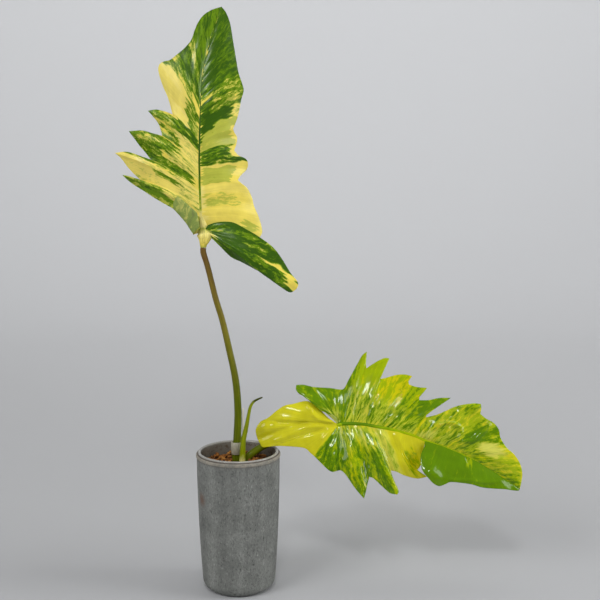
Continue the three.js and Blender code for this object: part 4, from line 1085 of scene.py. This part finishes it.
def sandy_stoneware(settings):
    """Grogged stoneware, thrown and fired unglazed, with a thin glaze inside and over the lip.
    The body is dry and gritty, the lip and the inside catch the light. The glaze inside is painted darker
    than on the lip, as painted shade in the planter."""
    material, tree = start_material("sandy_stoneware")
    place = add(tree, "ShaderNodeAttribute", attribute_name="place_mm", out="Vector")
    glaze, bead, iron, inside = (
        add(tree, "ShaderNodeAttribute", attribute_name=name, out="Fac")
        for name in ("glaze", "bead", "iron", "inside"))
    grain_scale = MM / settings.grain
    grit_place = add(tree, "ShaderNodeVectorMath", {0: place, 1: (1, 1, 0.5)}, operation="MULTIPLY")
    grit = add(
        tree, "ShaderNodeTexNoise",
        {"Vector": grit_place, "Scale": grain_scale, "Detail": 4.0, "Roughness": 0.75})
    clouds = add(tree, "ShaderNodeTexNoise", {"Vector": place, "Scale": 1 / CLAY_CLOUD, "Detail": 4.0})
    run_place = add(tree, "ShaderNodeVectorMath", {0: place, 1: (1, 1, 0.08)}, operation="MULTIPLY")
    runs = add(tree, "ShaderNodeTexNoise", {"Vector": run_place, "Scale": 1 / THROWING_RUN, "Detail": 4.0})
    crusts = add(
        tree, "ShaderNodeTexNoise",
        {"Vector": place, "Scale": 1 / CLAY_CRUST, "Detail": 5.0, "Roughness": 0.75, "Distortion": 0.8})
    body = add(
        tree, "ShaderNodeValToRGB", {0: grit},
        stops=[(0.32, settings.clay_dark), (0.45, settings.clay), (0.56, settings.clay),
               (0.7, settings.clay_light)])
    mottling = add(tree, "ShaderNodeMath", {0: clouds, 1: runs}, operation="ADD")
    mottling = add(tree, "ShaderNodeMath", {0: mottling, 1: crusts}, operation="ADD")
    value = add(tree, "ShaderNodeMapRange", {0: mottling, 1: 1.1, 2: 1.9, 3: 0.86, 4: 1.17})
    body = add(tree, "ShaderNodeHueSaturation", {"Value": value, "Color": body})
    worn = add(tree, "ShaderNodeMapRange", {0: crusts, 1: 0.35, 2: 0.55, 3: 0.25, 4: 1.0})
    bead = add(tree, "ShaderNodeMath", {0: bead, 1: worn}, operation="MULTIPLY")
    body = add(tree, "ShaderNodeMix", {0: bead, 6: body, 7: settings.bead}, data_type="RGBA", out=2)
    body = add(tree, "ShaderNodeMix", {0: glaze, 6: body, 7: settings.lip_glaze}, data_type="RGBA", out=2)
    # Inside, the glaze is painted darker than on the lip as painted shade in the planter, with iron specks.
    specks = add(tree, "ShaderNodeMapRange", {0: crusts, 1: 0.5, 2: 0.62, 3: 0.0, 4: 0.7})
    lining = add(
        tree, "ShaderNodeMix", {0: specks, 6: settings.shaded_inner_glaze, 7: settings.iron},
        data_type="RGBA", out=2)
    body = add(tree, "ShaderNodeMix", {0: inside, 6: body, 7: lining}, data_type="RGBA", out=2)
    # Iron lines: brown stain that is also painted shade in the groove and under the bead.
    body = add(tree, "ShaderNodeMix", {0: iron, 6: body, 7: settings.iron}, data_type="RGBA", out=2)
    body = add(tree, "ShaderNodeHueSaturation", {"Value": value, "Color": body})
    rust = add(
        tree, "ShaderNodeVectorMath", {0: place, 1: settings.smudge}, operation="DISTANCE", out="Value")
    rust = add(tree, "ShaderNodeMapRange", {0: rust, 1: 2.0, 2: 7.5, 3: 0.9, 4: 0.0})
    rust = add(tree, "ShaderNodeMath", {0: rust, 1: worn}, operation="MULTIPLY")
    body = add(tree, "ShaderNodeMix", {0: rust, 6: body, 7: settings.rust}, data_type="RGBA", out=2)
    relief = add(tree, "ShaderNodeMix", {0: 0.3, 2: grit, 3: crusts}, data_type="FLOAT")
    roughness = add(tree, "ShaderNodeMapRange", {0: glaze, 3: 0.88, 4: 0.2})
    depth = add(tree, "ShaderNodeMapRange", {0: glaze, 3: 0.9, 4: 0.08})
    bump = add(tree, "ShaderNodeBump", {"Strength": depth, "Distance": 1.4 * MM, "Height": relief})
    finish_material(tree, Base_Color=body, Roughness=roughness, Normal=bump, IOR=1.5)
    return material


def broken_bark(settings):
    """Composted pine bark, broken and sieved: fibrous, matt, each chip its own brown."""
    material, tree = start_material("broken_bark")
    place = add(tree, "ShaderNodeAttribute", attribute_name="place_mm", out="Vector")
    tint = add(tree, "ShaderNodeAttribute", attribute_name="tint", out="Fac")
    fibre = add(
        tree, "ShaderNodeTexNoise",
        {"Vector": place, "Scale": 1 / BARK_FIBRE, "Detail": 5.0, "Roughness": 0.7, "Distortion": 0.6})
    mixed = add(tree, "ShaderNodeMix", {0: 0.5, 2: fibre, 3: tint}, data_type="FLOAT")
    tone = add(
        tree, "ShaderNodeValToRGB", {0: mixed},
        stops=[(0.22, settings.bark_dark), (0.5, settings.bark), (0.78, settings.bark_light)])
    bump = add(tree, "ShaderNodeBump", {"Strength": 0.8, "Distance": 0.6 * MM, "Height": fibre})
    finish_material(tree, Base_Color=tone, Roughness=0.85, Normal=bump, IOR=1.4)
    return material


def damp_peat(settings):
    """Fine sieved peat and bark dust between the chips: nearly black, matt and crumbly."""
    material, tree = start_material("damp_peat")
    place = add(tree, "ShaderNodeAttribute", attribute_name="place_mm", out="Vector")
    crumb = add(tree, "ShaderNodeTexNoise", {"Vector": place, "Scale": 1 / PEAT_CRUMB, "Detail": 5.0})
    tone = add(tree, "ShaderNodeValToRGB", {0: crumb}, stops=[(0.35, settings.peat), (0.7, settings.bark)])
    bump = add(tree, "ShaderNodeBump", {"Strength": 1.0, "Distance": 0.8 * MM, "Height": crumb})
    finish_material(tree, Base_Color=tone, Roughness=0.9, Normal=bump, IOR=1.4)
    return material


def moulded_polypropylene(settings):
    """Milky moulded polypropylene: soft gloss and light that passes a little way in."""
    material, tree = start_material("moulded_polypropylene")
    place = add(tree, "ShaderNodeAttribute", attribute_name="place_mm", out="Vector")
    haze = add(tree, "ShaderNodeTexNoise", {"Vector": place, "Scale": 1 / PLASTIC_HAZE, "Detail": 3.0})
    value = add(tree, "ShaderNodeMapRange", {0: haze, 1: 0.3, 2: 0.7, 3: 0.85, 4: 1.1})
    tone = add(tree, "ShaderNodeHueSaturation", {"Value": value, "Color": settings.clip})
    bump = add(tree, "ShaderNodeBump", {"Strength": 0.2, "Distance": 0.3 * MM, "Height": haze})
    finish_material(
        tree, Base_Color=tone, Roughness=0.35, Normal=bump, IOR=1.49, Subsurface_Weight=0.3,
        Subsurface_Radius=(1.0, 0.95, 0.8), Subsurface_Scale=1.5 * MM)
    return material


def peeled_wood(settings):
    """A peeled split-wood stick: straight pale grain, sanded and unfinished."""
    material, tree = start_material("peeled_wood")
    place = add(tree, "ShaderNodeAttribute", attribute_name="rod_place", out="Vector")
    grain_place = add(tree, "ShaderNodeVectorMath", {0: place, 1: (1, 1, 0.04)}, operation="MULTIPLY")
    grain = add(tree, "ShaderNodeTexNoise", {"Vector": grain_place, "Scale": 1 / WOOD_GRAIN, "Detail": 3.0})
    value = add(tree, "ShaderNodeMapRange", {0: grain, 1: 0.3, 2: 0.7, 3: 0.8, 4: 1.08})
    tone = add(tree, "ShaderNodeHueSaturation", {"Value": value, "Color": settings.stick})
    bump = add(tree, "ShaderNodeBump", {"Strength": 0.3, "Distance": 0.2 * MM, "Height": grain})
    finish_material(tree, Base_Color=tone, Roughness=0.6, Normal=bump, IOR=1.5)
    return material


def corky_stem(settings):
    """The buried stem: corky brown skin over green, ringed by old leaf scars."""
    material, tree = start_material("corky_stem")
    place = add(tree, "ShaderNodeTexCoord", out="Object")
    cork = add(tree, "ShaderNodeTexNoise", {"Vector": place, "Scale": 1 / (STEM_CORK * MM), "Detail": 4.0})
    tone = add(
        tree, "ShaderNodeValToRGB", {0: cork},
        stops=[(0.35, settings.brown), (0.65, settings.green)])
    bump = add(tree, "ShaderNodeBump", {"Strength": 0.6, "Distance": 0.5 * MM, "Height": cork})
    finish_material(tree, Base_Color=tone, Roughness=0.75, Normal=bump, IOR=1.45)
    return material


def matt_paper(settings):
    """Uncoated background paper: an even matt tone with a trace of tooth."""
    material, tree = start_material("matt_paper")
    place = add(tree, "ShaderNodeTexCoord", out="Object")
    tooth = add(tree, "ShaderNodeTexNoise", {"Vector": place, "Scale": 1 / (PAPER_TOOTH * MM), "Detail": 2.0})
    value = add(tree, "ShaderNodeMapRange", {0: tooth, 1: 0.3, 2: 0.7, 3: 0.985, 4: 1.015})
    tone = add(tree, "ShaderNodeHueSaturation", {"Value": value, "Color": settings.paper})
    finish_material(tree, Base_Color=tone, Roughness=0.9, IOR=1.45)
    return material


def inner_radius(height):
    """Inside radius of the planter at a height."""
    low, high = POT_INSIDE
    taper = low + (high - low) * height / POT_HEIGHT
    corner = max(0, POT_FLOOR + POT_COVE_HEIGHT - height) / POT_COVE_HEIGHT
    return taper - POT_COVE_REACH * corner * corner


def lathe(shell, profile, sectors, **fields):
    """Adds the surface that a profile from axis to axis sweeps round the upright axis."""
    profile = np.asarray(profile, float)
    turn = np.arange(sectors) / sectors * 2 * math.pi
    rings = np.stack([
        profile[1:-1, :1] * np.cos(turn)[None],
        profile[1:-1, :1] * np.sin(turn)[None],
        profile[1:-1, 1:2] * np.ones(sectors)[None]], -1)
    count = len(rings)
    points = np.concatenate([rings.reshape(-1, 3), [(0, 0, profile[0, 1]), (0, 0, profile[-1, 1])]])
    faces = []
    for k in range(sectors):
        after = (k + 1) % sectors
        faces.append((count * sectors, after, k))
        faces.append((count * sectors + 1, (count - 1) * sectors + k, (count - 1) * sectors + after))
        for j in range(count - 1):
            low, high = j * sectors, (j + 1) * sectors
            faces.append((low + k, low + after, high + after, high + k))
    spread = {}
    for name, values in fields.items():
        values = np.asarray(values, float)
        spread[name] = np.concatenate([np.repeat(values[1:-1], sectors), [values[0], values[-1]]])
    shell.add(points, faces, **spread)


class PLANT_OT_planter(bpy.types.Operator):
    """Turn the stoneware planter with its beaded lip"""
    bl_idname = "plant.planter"
    bl_label = "Planter"

    def execute(self, context):
        settings = context.scene.plant.planter
        reach, rise = POT_CORNER
        corner = [
            (POT_FOOT_RADIUS + reach * math.sin(a), rise * (1 - math.cos(a)))
            for a in np.linspace(0, math.pi / 2, 12)]
        wall = smooth_path([(x, z, 0) for x, z in POT_WALL_LINE], 3)[1:, :2]
        lip = smooth_path([(x, z, 0) for x, z in POT_LIP_LINE], 0.25)[1:, :2]
        cove_top = POT_FLOOR + POT_COVE_HEIGHT
        heights = [*np.linspace(POT_INSIDE_TOP, cove_top, 26), *np.linspace(cove_top - 1, POT_FLOOR, 8)]
        inner_wall = [(inner_radius(z), z) for z in heights]
        profile = np.array([(0, 0), *corner, *wall, *lip, *inner_wall, (0, POT_FLOOR)])
        height = profile[:, 1]
        after_crest = np.arange(len(profile)) > np.argmax(height)
        bead_foot, bead_top = BEAD_SPAN
        glaze = np.maximum(smooth_step(height, GLAZE_EDGE, 0.2), after_crest)
        bead = smooth_step(height, bead_foot, 0.2) * (1 - smooth_step(height, bead_top, 0.1)) * ~after_crest
        # Brown iron lines, which are also painted shade in the groove and under the bead.
        stain_and_shade_lines = [strength * np.exp(-((height - line) / IRON_AND_SHADE_WIDTH) ** 2) for line, strength in IRON_AND_SHADE_LINES]
        iron = np.max(stain_and_shade_lines, axis=0) * ~after_crest
        # Inside the planter the glaze is painted darker, as painted shade.
        inside = after_crest * (1 - smooth_step(height, GLAZE_EDGE, 0.4))
        shell = Shell()
        lathe(shell, profile, POT_SECTORS, glaze=glaze, bead=bead, iron=iron, inside=inside)
        set_piece("stoneware_planter", shell.mesh("stoneware_planter"), [sandy_stoneware(settings)],
                  ["pot"])
        return {"FINISHED"}


def soil_height(x, y):
    """Height of the bed between the chips."""
    heap = SOIL_HEAP * math.exp(-(x * x + y * y) / SOIL_HEAP_WIDTH ** 2)
    lump = noise.noise(Vector((x / SOIL_LUMP_LENGTH, y / SOIL_LUMP_LENGTH, 0.5)))
    return SOIL_EDGE_HEIGHT + heap + SOIL_LUMP * lump - SOIL_DROP


def chip_points(source, size, flat):
    """Points and faces of one broken chunk: a ball cut by rough planes and squashed."""
    ball = bmesh.new()
    bmesh.ops.create_icosphere(ball, subdivisions=2, radius=1.0)
    planes = [
        (Vector([source.gauss(0, 1) for _ in range(3)]).normalized(), source.uniform(*CHIP_CUT_DISTANCE))
        for _ in range(CHIP_CUTS)]
    seed = Vector([source.uniform(0, 100) for _ in range(3)])
    slim = source.uniform(*CHIP_SLIMNESS)
    for vert in ball.verts:
        place = vert.co.copy()
        for normal, limit in planes:
            beyond = place.dot(normal) - limit
            if beyond > 0:
                place -= normal * beyond
        place *= 1 + CHIP_GNARL * noise.noise(place * 2.2 + seed)
        vert.co = Vector((place.x, place.y * slim, place.z * flat)) * size
    points = [tuple(vert.co) for vert in ball.verts]
    faces = [tuple(vert.index for vert in face.verts) for face in ball.faces]
    ball.free()
    return np.array(points), faces


class PLANT_OT_substrate(bpy.types.Operator):
    """Fill the planter with damp peat and strew bark chips over it"""
    bl_idname = "plant.substrate"
    bl_label = "Substrate"

    def execute(self, context):
        settings = context.scene.plant.substrate
        self.fill_bed(settings)
        self.strew_chips(settings)
        return {"FINISHED"}

    def fill_bed(self, settings):
        sectors, rings = 96, 34
        heights = np.linspace(POT_FLOOR + SEAT, SOIL_EDGE_HEIGHT - 2, 14)
        profile = [(0, heights[0]), *((inner_radius(z) - SEAT, z) for z in heights)]
        edge = profile[-1][0]
        profile += [(edge * math.sqrt(1 - i / rings), SOIL_EDGE_HEIGHT) for i in range(rings)]
        profile.append((0, SOIL_EDGE_HEIGHT))
        shell = Shell()
        lathe(shell, profile, sectors)
        for point in shell.points[0]:
            if point[2] > SOIL_EDGE_HEIGHT - 1:
                point[2] = soil_height(point[0], point[1])
        set_piece("peat_bed", shell.mesh("peat_bed"), [damp_peat(settings)], ["substrate"])

    def strew_chips(self, settings):
        source = random.Random(CHIP_SEED)
        shell = Shell()
        for _ in range(settings.chips):
            size = source.uniform(*CHIP_SIZE)
            away = (SOIL_LIMIT - size) * math.sqrt(source.random())
            turn = source.uniform(0, 2 * math.pi)
            x, y = away * math.cos(turn), away * math.sin(turn)
            points, faces = chip_points(source, size, source.uniform(*CHIP_FLATNESS))
            tilt = Matrix.Rotation(source.uniform(0, 6.3), 3, "Z")
            tilt @= Matrix.Rotation(source.gauss(0, CHIP_TILT), 3, "X")
            lift = source.uniform(*CHIP_LIFT)
            tint = source.gauss(*CHIP_TINT)
            if any(math.hypot(x - fx, y - fy) < radius + 0.8 * size for fx, fy, radius in STALK_FEET):
                continue
            points = points @ np.array(tilt).T + (x, y, soil_height(x, y) + lift)
            shell.add(points, faces, tint=np.full(len(points), tint))
        set_piece("bark_chips", shell.mesh("bark_chips"), [broken_bark(settings)], ["substrate"])


class PLANT_OT_stem(bpy.types.Operator):
    """Finish the buried stem, which stays as the CAD gives it"""
    bl_idname = "plant.stem"
    bl_label = "Buried stem"

    def execute(self, context):
        material = corky_stem(context.scene.plant.stalk)
        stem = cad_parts["stem"]
        stem.data.materials.clear()
        stem.data.materials.append(material)
        return {"FINISHED"}


def petiole_to(points, leaf, neck):
    """Ends a stalk square against the neck of its blade."""
    matrix = leaf_matrix(leaf)
    start = matrix @ Vector(neck[0][:3])
    along = (matrix @ Vector(neck[1][:3]) - start).normalized()
    radius = neck[0][3]
    return [*points, (*(start - along * STALK_APPROACH), radius), (*(start - along * SEAT), radius)]


def stalk_section(turn, share):
    """A stalk's section: nearly round, with a shallow channel and low ridges."""
    channel = CHANNEL_DEPTH * np.exp(-((turn - math.pi / 2) / CHANNEL_WIDTH) ** 2)
    return 1 - channel + RIDGE_DEPTH * np.cos(RIDGE_COUNT * turn + RIDGE_TWIST * share)


class PLANT_OT_stalks(bpy.types.Operator):
    """Grow the two petioles"""
    bl_idname = "plant.stalks"
    bl_label = "Petioles"

    def execute(self, context):
        settings = context.scene.plant.stalk
        tall_skin = ribbed_skin(
            "ripened_petiole_skin",
            [(0.0, settings.green), (0.3, settings.green), (0.62, settings.olive), (1.0, settings.brown)])
        low_skin = ribbed_skin("young_petiole_skin", [(0.0, settings.green), (1.0, settings.young)])
        for name, node, points, leaf, neck, skin in [
                ("tall_petiole", "petiole_tall", TALL_PETIOLE, TALL_LEAF, TALL_NECK, tall_skin),
                ("low_petiole", "petiole_low", LOW_PETIOLE, LOW_LEAF, LOW_NECK, low_skin)]:
            shell = Shell()
            add_rod(shell, smooth_path(petiole_to(points, leaf, neck), 1.5), 40, stalk_section)
            set_piece(name, shell.mesh(name), [skin], [node])
        return {"FINISHED"}


def sheath_section(turn, share):
    """A rolled leaf's section: one edge lies over the other in a low step."""
    spiral = turn / (2 * math.pi)
    return SHEATH_INNER + SHEATH_STEP * spiral * (1 - 0.5 * share)


class PLANT_OT_shoot(bpy.types.Operator):
    """Roll the new shoot, pale at its base and dry at its tip"""
    bl_idname = "plant.shoot"
    bl_label = "New shoot"

    def execute(self, context):
        settings = context.scene.plant.stalk
        skin = ribbed_skin(
            "rolled_sheath_skin",
            [(0.0, settings.sheath_pale), (0.1, settings.sheath_pale), (0.2, settings.sheath),
             (0.84, settings.sheath), (0.93, settings.dry), (1.0, settings.dry)],
            roughness=0.38, coat=0.15)
        shell = Shell()
        add_rod(shell, smooth_path(SHOOT, 0.8), 36, sheath_section)
        set_piece("rolled_shoot", shell.mesh("rolled_shoot"), [skin], ["new_shoot"])
        return {"FINISHED"}


def band_outline(big, small, reach, count):
    """Outline round two circles, as a tight band lies round two stalks."""
    tangent = math.acos((big - small) / reach)
    back = [(big * math.cos(a), big * math.sin(a))
            for a in np.linspace(tangent, 2 * math.pi - tangent, count)]
    front = [(reach + small * math.cos(a), small * math.sin(a))
             for a in np.linspace(-tangent, tangent, count)]
    return np.array(back + front)


class PLANT_OT_support(bpy.types.Operator):
    """Push in the stick and close the clip round it and the tall petiole"""
    bl_idname = "plant.support"
    bl_label = "Stick and clip"

    def execute(self, context):
        settings = context.scene.plant.stalk
        shell = Shell()
        add_rod(shell, smooth_path(STICK, 2), 20)
        set_piece("support_stick", shell.mesh("support_stick"), [peeled_wood(settings)], ["stick"])
        shell = Shell()
        self.add_band(shell)
        set_piece("plant_clip", shell.mesh("plant_clip"), [moulded_polypropylene(settings)], ["clip"])
        return {"FINISHED"}

    def add_band(self, shell):
        x, y, big = CLIP_PETIOLE
        stick_x, stick_y, small = CLIP_STICK
        reach = math.hypot(stick_x - x, stick_y - y)
        angle = math.atan2(stick_y - y, stick_x - x)
        turn = np.array([(math.cos(angle), -math.sin(angle)), (math.sin(angle), math.cos(angle))])
        section = [
            (0, CLIP_EDGE), (CLIP_EDGE, 0), (CLIP_WALL - CLIP_EDGE, 0), (CLIP_WALL, CLIP_EDGE),
            (CLIP_WALL, CLIP_HEIGHT - CLIP_EDGE), (CLIP_WALL - CLIP_EDGE, CLIP_HEIGHT),
            (CLIP_EDGE, CLIP_HEIGHT), (0, CLIP_HEIGHT - CLIP_EDGE)]
        loops = []
        for out, rise in section:
            flat = band_outline(big + out, small + out, reach, 24) @ turn.T + (x, y)
            loops.append(np.column_stack([flat, np.full(len(flat), CLIP_BOTTOM + rise)]))
        around, count = len(section), len(loops[0])
        faces = []
        for i in range(around):
            for k in range(count):
                a, b = i * count + k, i * count + (k + 1) % count
                c, d = (i + 1) % around * count + (k + 1) % count, (i + 1) % around * count + k
                faces.append((a, b, c, d))
        shell.add(np.concatenate(loops), faces)


def add_midrib(shell, rib, base_width, base_rise, base_depth, seed=0.0):
    """Adds a blade's midrib, low above and deep below, thinning to the tip."""
    tip_width, tip_rise, tip_depth = MIDRIB_TIP
    along = np.linspace(0, rib.length - MIDRIB_STOP, MIDRIB_ROWS)
    centres = rib.at(along)
    share = along / rib.length
    heading = rib.direction(along)
    lateral = np.cross(heading, (0, 1, 0))
    lateral /= np.linalg.norm(lateral, axis=1)[:, None]
    front = np.cross(lateral, heading)
    front *= -np.sign(front[:, 1:2])
    turn = np.arange(MIDRIB_SIDES) / MIDRIB_SIDES * 2 * math.pi
    width = base_width * (1 - share) ** 0.8 + tip_width
    rise = tip_rise + base_rise * (1 - share) ** 2
    depth = base_depth * (1 - share) + tip_depth
    height = np.where(np.sin(turn)[None] > 0, rise[:, None], depth[:, None]) * np.sin(turn)[None]
    ring = centres[:, None] + (width[:, None] * np.cos(turn)[None])[..., None] * lateral[:, None] \
        + height[..., None] * front[:, None]
    faces = capped_faces(MIDRIB_ROWS, MIDRIB_SIDES)
    if np.dot(np.cross(lateral[0], front[0]), heading[0]) <= 0:
        faces = [face[::-1] for face in faces]
    spread = np.repeat(share, MIDRIB_SIDES)
    place = np.stack([
        np.tile(np.cos(turn), MIDRIB_ROWS) * np.repeat(width, MIDRIB_SIDES),
        np.tile(np.sin(turn), MIDRIB_ROWS), np.repeat(along, MIDRIB_SIDES)], -1) + (seed, 0, 0)
    shell.add(ring, faces, share=spread, rod_place=place)


class PLANT_OT_tall_leaf(bpy.types.Operator):
    """Grow the upright leaf: two halves, a folded lobe and a dark lobe"""
    bl_idname = "plant.tall_leaf"
    bl_label = "Upright leaf"

    def execute(self, context):
        settings = context.scene.plant.leaf
        tones = (settings.mature_yellow, settings.mature_cream, settings.mature_olive,
                 settings.mature_green, settings.mature_dark)
        thickness = settings.thickness / MM
        matrix = leaf_matrix(TALL_LEAF)
        rib = Midrib(TALL_RIB)
        shell = Shell()
        add_half(shell, rib, TALL_RIGHT, TALL_LEAF, TALL_RIGHT_SECTORS, thickness, seed=1.0)
        add_half(shell, rib, TALL_LEFT, TALL_LEAF, TALL_LEFT_SECTORS, thickness, seed=2.0, flip=True,
                 ridges=TALL_RIDGES, fold=TALL_FOLD_EDGE)
        lobe = Midrib([TALL_LOBE_ROOT])
        add_half(shell, lobe, TALL_LOBE, TALL_LEAF, TALL_LOBE_SECTORS, thickness, seed=4.0)
        skins = [waxy_upper_skin("mature_leaf_wax", tones, **MATURE_STREAKS, **MATURE_WAX),
                 matte_lower_skin("mature_leaf_underside", tones, **MATURE_STREAKS)]
        set_piece("upright_blade", shell.mesh("upright_blade", matrix), skins, ["blade_tall"])
        shell = Shell()
        add_midrib(shell, rib, base_width=1.1, base_rise=0.25, base_depth=2.6)
        add_rod(shell, smooth_path(TALL_NECK, 0.8), 32, slot=1)
        shell.points[-1][:, 1] *= TALL_NECK_FLATNESS
        rib_skin = ribbed_skin(
            "mature_midrib_skin",
            [(0.0, settings.mature_cream), (0.08, settings.mature_cream), (0.11, settings.mature_olive),
             (0.15, settings.mature_green), (0.3, settings.mature_dark), (1.0, settings.mature_dark)])
        neck_skin = ribbed_skin(
            "collar_skin",
            [(0.0, settings.mature_olive), (0.12, settings.mature_yellow), (0.45, settings.mature_cream),
             (0.6, settings.mature_olive), (0.7, settings.mature_cream), (1.0, settings.mature_cream)])
        add_rod(shell, smooth_path(TALL_SCAR, 0.5), 14, slot=2)
        scar_skin = ribbed_skin(
            "corky_scar", [(0.0, settings.scar), (1.0, settings.mature_olive)], roughness=0.7, coat=0.0)
        skins = [rib_skin, neck_skin, scar_skin]
        set_piece("upright_midrib", shell.mesh("upright_midrib", matrix), skins, ["blade_tall"])
        return {"FINISHED"}


class PLANT_OT_low_leaf(bpy.types.Operator):
    """Grow the young leaf that is held out to the right"""
    bl_idname = "plant.low_leaf"
    bl_label = "Low leaf"

    def execute(self, context):
        settings = context.scene.plant.leaf
        tones = (settings.young_yellow, settings.young_cream, settings.young_lime,
                 settings.young_green, settings.young_dark)
        thickness = settings.thickness / MM
        matrix = leaf_matrix(LOW_LEAF)
        rib = Midrib(LOW_RIB)
        shell = Shell()
        add_half(shell, rib, LOW_UPPER, LOW_LEAF, LOW_UPPER_SECTORS, thickness, seed=5.0, flip=True,
                 ridges=LOW_RIDGES, notch=LOW_UPPER_NOTCH)
        add_half(shell, rib, LOW_LOWER, LOW_LEAF, LOW_LOWER_SECTORS, thickness, seed=6.0,
                 ridges=LOW_RIDGES, notch=LOW_LOWER_NOTCH, bends=LOW_LOWER_BENDS)
        skins = [waxy_upper_skin("young_leaf_wax", tones, **YOUNG_STREAKS, **YOUNG_WAX),
                 matte_lower_skin("young_leaf_underside", tones, **YOUNG_STREAKS)]
        set_piece("low_blade", shell.mesh("low_blade", matrix), skins, ["blade_low"])
        shell = Shell()
        add_midrib(shell, rib, base_width=1.7, base_rise=0.75, base_depth=2.2, seed=9.0)
        add_rod(shell, smooth_path(LOW_NECK, 0.8), 32)
        skin = ribbed_skin(
            "young_midrib_skin",
            [(0.0, settings.young_green), (0.14, settings.young_green), (0.36, settings.young_lime),
             (0.6, settings.young_lime), (1.0, settings.young_green)], roughness=0.4, coat=0.0)
        set_piece("low_midrib", shell.mesh("low_midrib", matrix), [skin], ["blade_low"])
        return {"FINISHED"}


def soft_light(name, place, target, width, height, power):
    """A large soft rectangular light aimed at a point."""
    data = bpy.data.lights.new(name, "AREA")
    data.shape = "RECTANGLE"
    data.size = width
    data.size_y = height
    data.energy = power
    light = bpy.data.objects.new(name, data)
    light.location = place
    light.rotation_euler = (Vector(target) - Vector(place)).to_track_quat("-Z", "Y").to_euler()
    bpy.context.scene.collection.objects.link(light)


class PLANT_OT_stage(bpy.types.Operator):
    """Set the pale floor, the soft lights and the camera"""
    bl_idname = "plant.stage"
    bl_label = "Stage"

    def execute(self, context):
        settings = context.scene.plant.stage
        self.roll_out_paper(settings)
        self.light(context, settings)
        self.aim_camera(context, settings)
        return {"FINISHED"}

    def roll_out_paper(self, settings):
        curve = [
            (PAPER_FLAT + PAPER_BEND * math.sin(a), PAPER_BEND * (1 - math.cos(a)))
            for a in np.linspace(0, math.pi / 2, 24)]
        profile = [
            *((PAPER_FLAT * i / 8, 0) for i in range(1, 8)), *curve,
            (PAPER_FLAT + PAPER_BEND, PAPER_BEND + PAPER_WALL)]
        turn = np.arange(PAPER_SECTORS) / PAPER_SECTORS * 2 * math.pi
        points = [(0, 0, 0), *((r * math.cos(a), r * math.sin(a), z) for r, z in profile for a in turn)]
        faces = [(0, 1 + k, 1 + (k + 1) % PAPER_SECTORS) for k in range(PAPER_SECTORS)]
        faces += [tuple(1 + i for i in face[::-1]) for face in ring_faces(len(profile), PAPER_SECTORS)]
        mesh = bpy.data.meshes.new("paper_floor")
        mesh.from_pydata(points, [], faces)
        mesh.polygons.foreach_set("use_smooth", [True] * len(faces))
        mesh.materials.append(matt_paper(settings))
        floor = bpy.data.objects.new("paper_floor", mesh)
        bpy.context.scene.collection.objects.link(floor)

    def light(self, context, settings):
        world = bpy.data.worlds.new("soft_room")
        world.use_nodes = True
        background = world.node_tree.nodes["Background"]
        background.inputs["Color"].default_value = settings.sky
        background.inputs["Strength"].default_value = SKY_STRENGTH
        context.scene.world = world
        context.scene.view_settings.view_transform = "Standard"
        for name, (place, target, width, height) in LIGHTS.items():
            soft_light(name, place, target, width, height, getattr(settings, name + "_power"))

    def aim_camera(self, context, settings):
        data = bpy.data.cameras.new("camera")
        data.sensor_width = SENSOR_WIDTH
        data.lens = settings.lens
        camera = bpy.data.objects.new("camera", data)
        camera.location = CAMERA_PLACE
        camera.rotation_euler = (math.radians(90 - CAMERA_DIP), 0, 0)
        context.scene.collection.objects.link(camera)
        context.scene.camera = camera


OPERATORS = (
    PLANT_OT_planter, PLANT_OT_substrate, PLANT_OT_stem, PLANT_OT_stalks, PLANT_OT_shoot,
    PLANT_OT_support, PLANT_OT_tall_leaf, PLANT_OT_low_leaf, PLANT_OT_stage,
)


class PLANT_PT_panel(bpy.types.Panel):
    """Lists the plant's pieces in the sidebar"""
    bl_idname = "PLANT_PT_panel"
    bl_label = "Potted plant"
    bl_space_type = "VIEW_3D"
    bl_region_type = "UI"
    bl_category = "Plant"

    def draw(self, context):
        for operator in OPERATORS:
            self.layout.operator(operator.bl_idname)
        for group in ("planter", "substrate", "leaf", "stalk", "stage"):
            settings = getattr(context.scene.plant, group)
            box = self.layout.box()
            box.label(text=group.capitalize())
            for name in settings.bl_rna.properties.keys():
                if name not in {"rna_type", "name"}:
                    box.prop(settings, name)


CLASSES = (
    PlanterSettings, SubstrateSettings, LeafSettings, StalkSettings, StageSettings, PlantSettings,
    *OPERATORS, PLANT_PT_panel,
)


def register():
    for cls in CLASSES:
        bpy.utils.register_class(cls)
    bpy.types.Scene.plant = bpy.props.PointerProperty(type=PlantSettings)


def unregister():
    del bpy.types.Scene.plant
    for cls in reversed(CLASSES):
        bpy.utils.unregister_class(cls)


def main():
    register()
    for name in (
            "planter", "substrate", "stem", "stalks", "shoot", "support", "tall_leaf", "low_leaf", "stage"):
        getattr(bpy.ops.plant, name)()


if __name__ == "__main__":
    main()
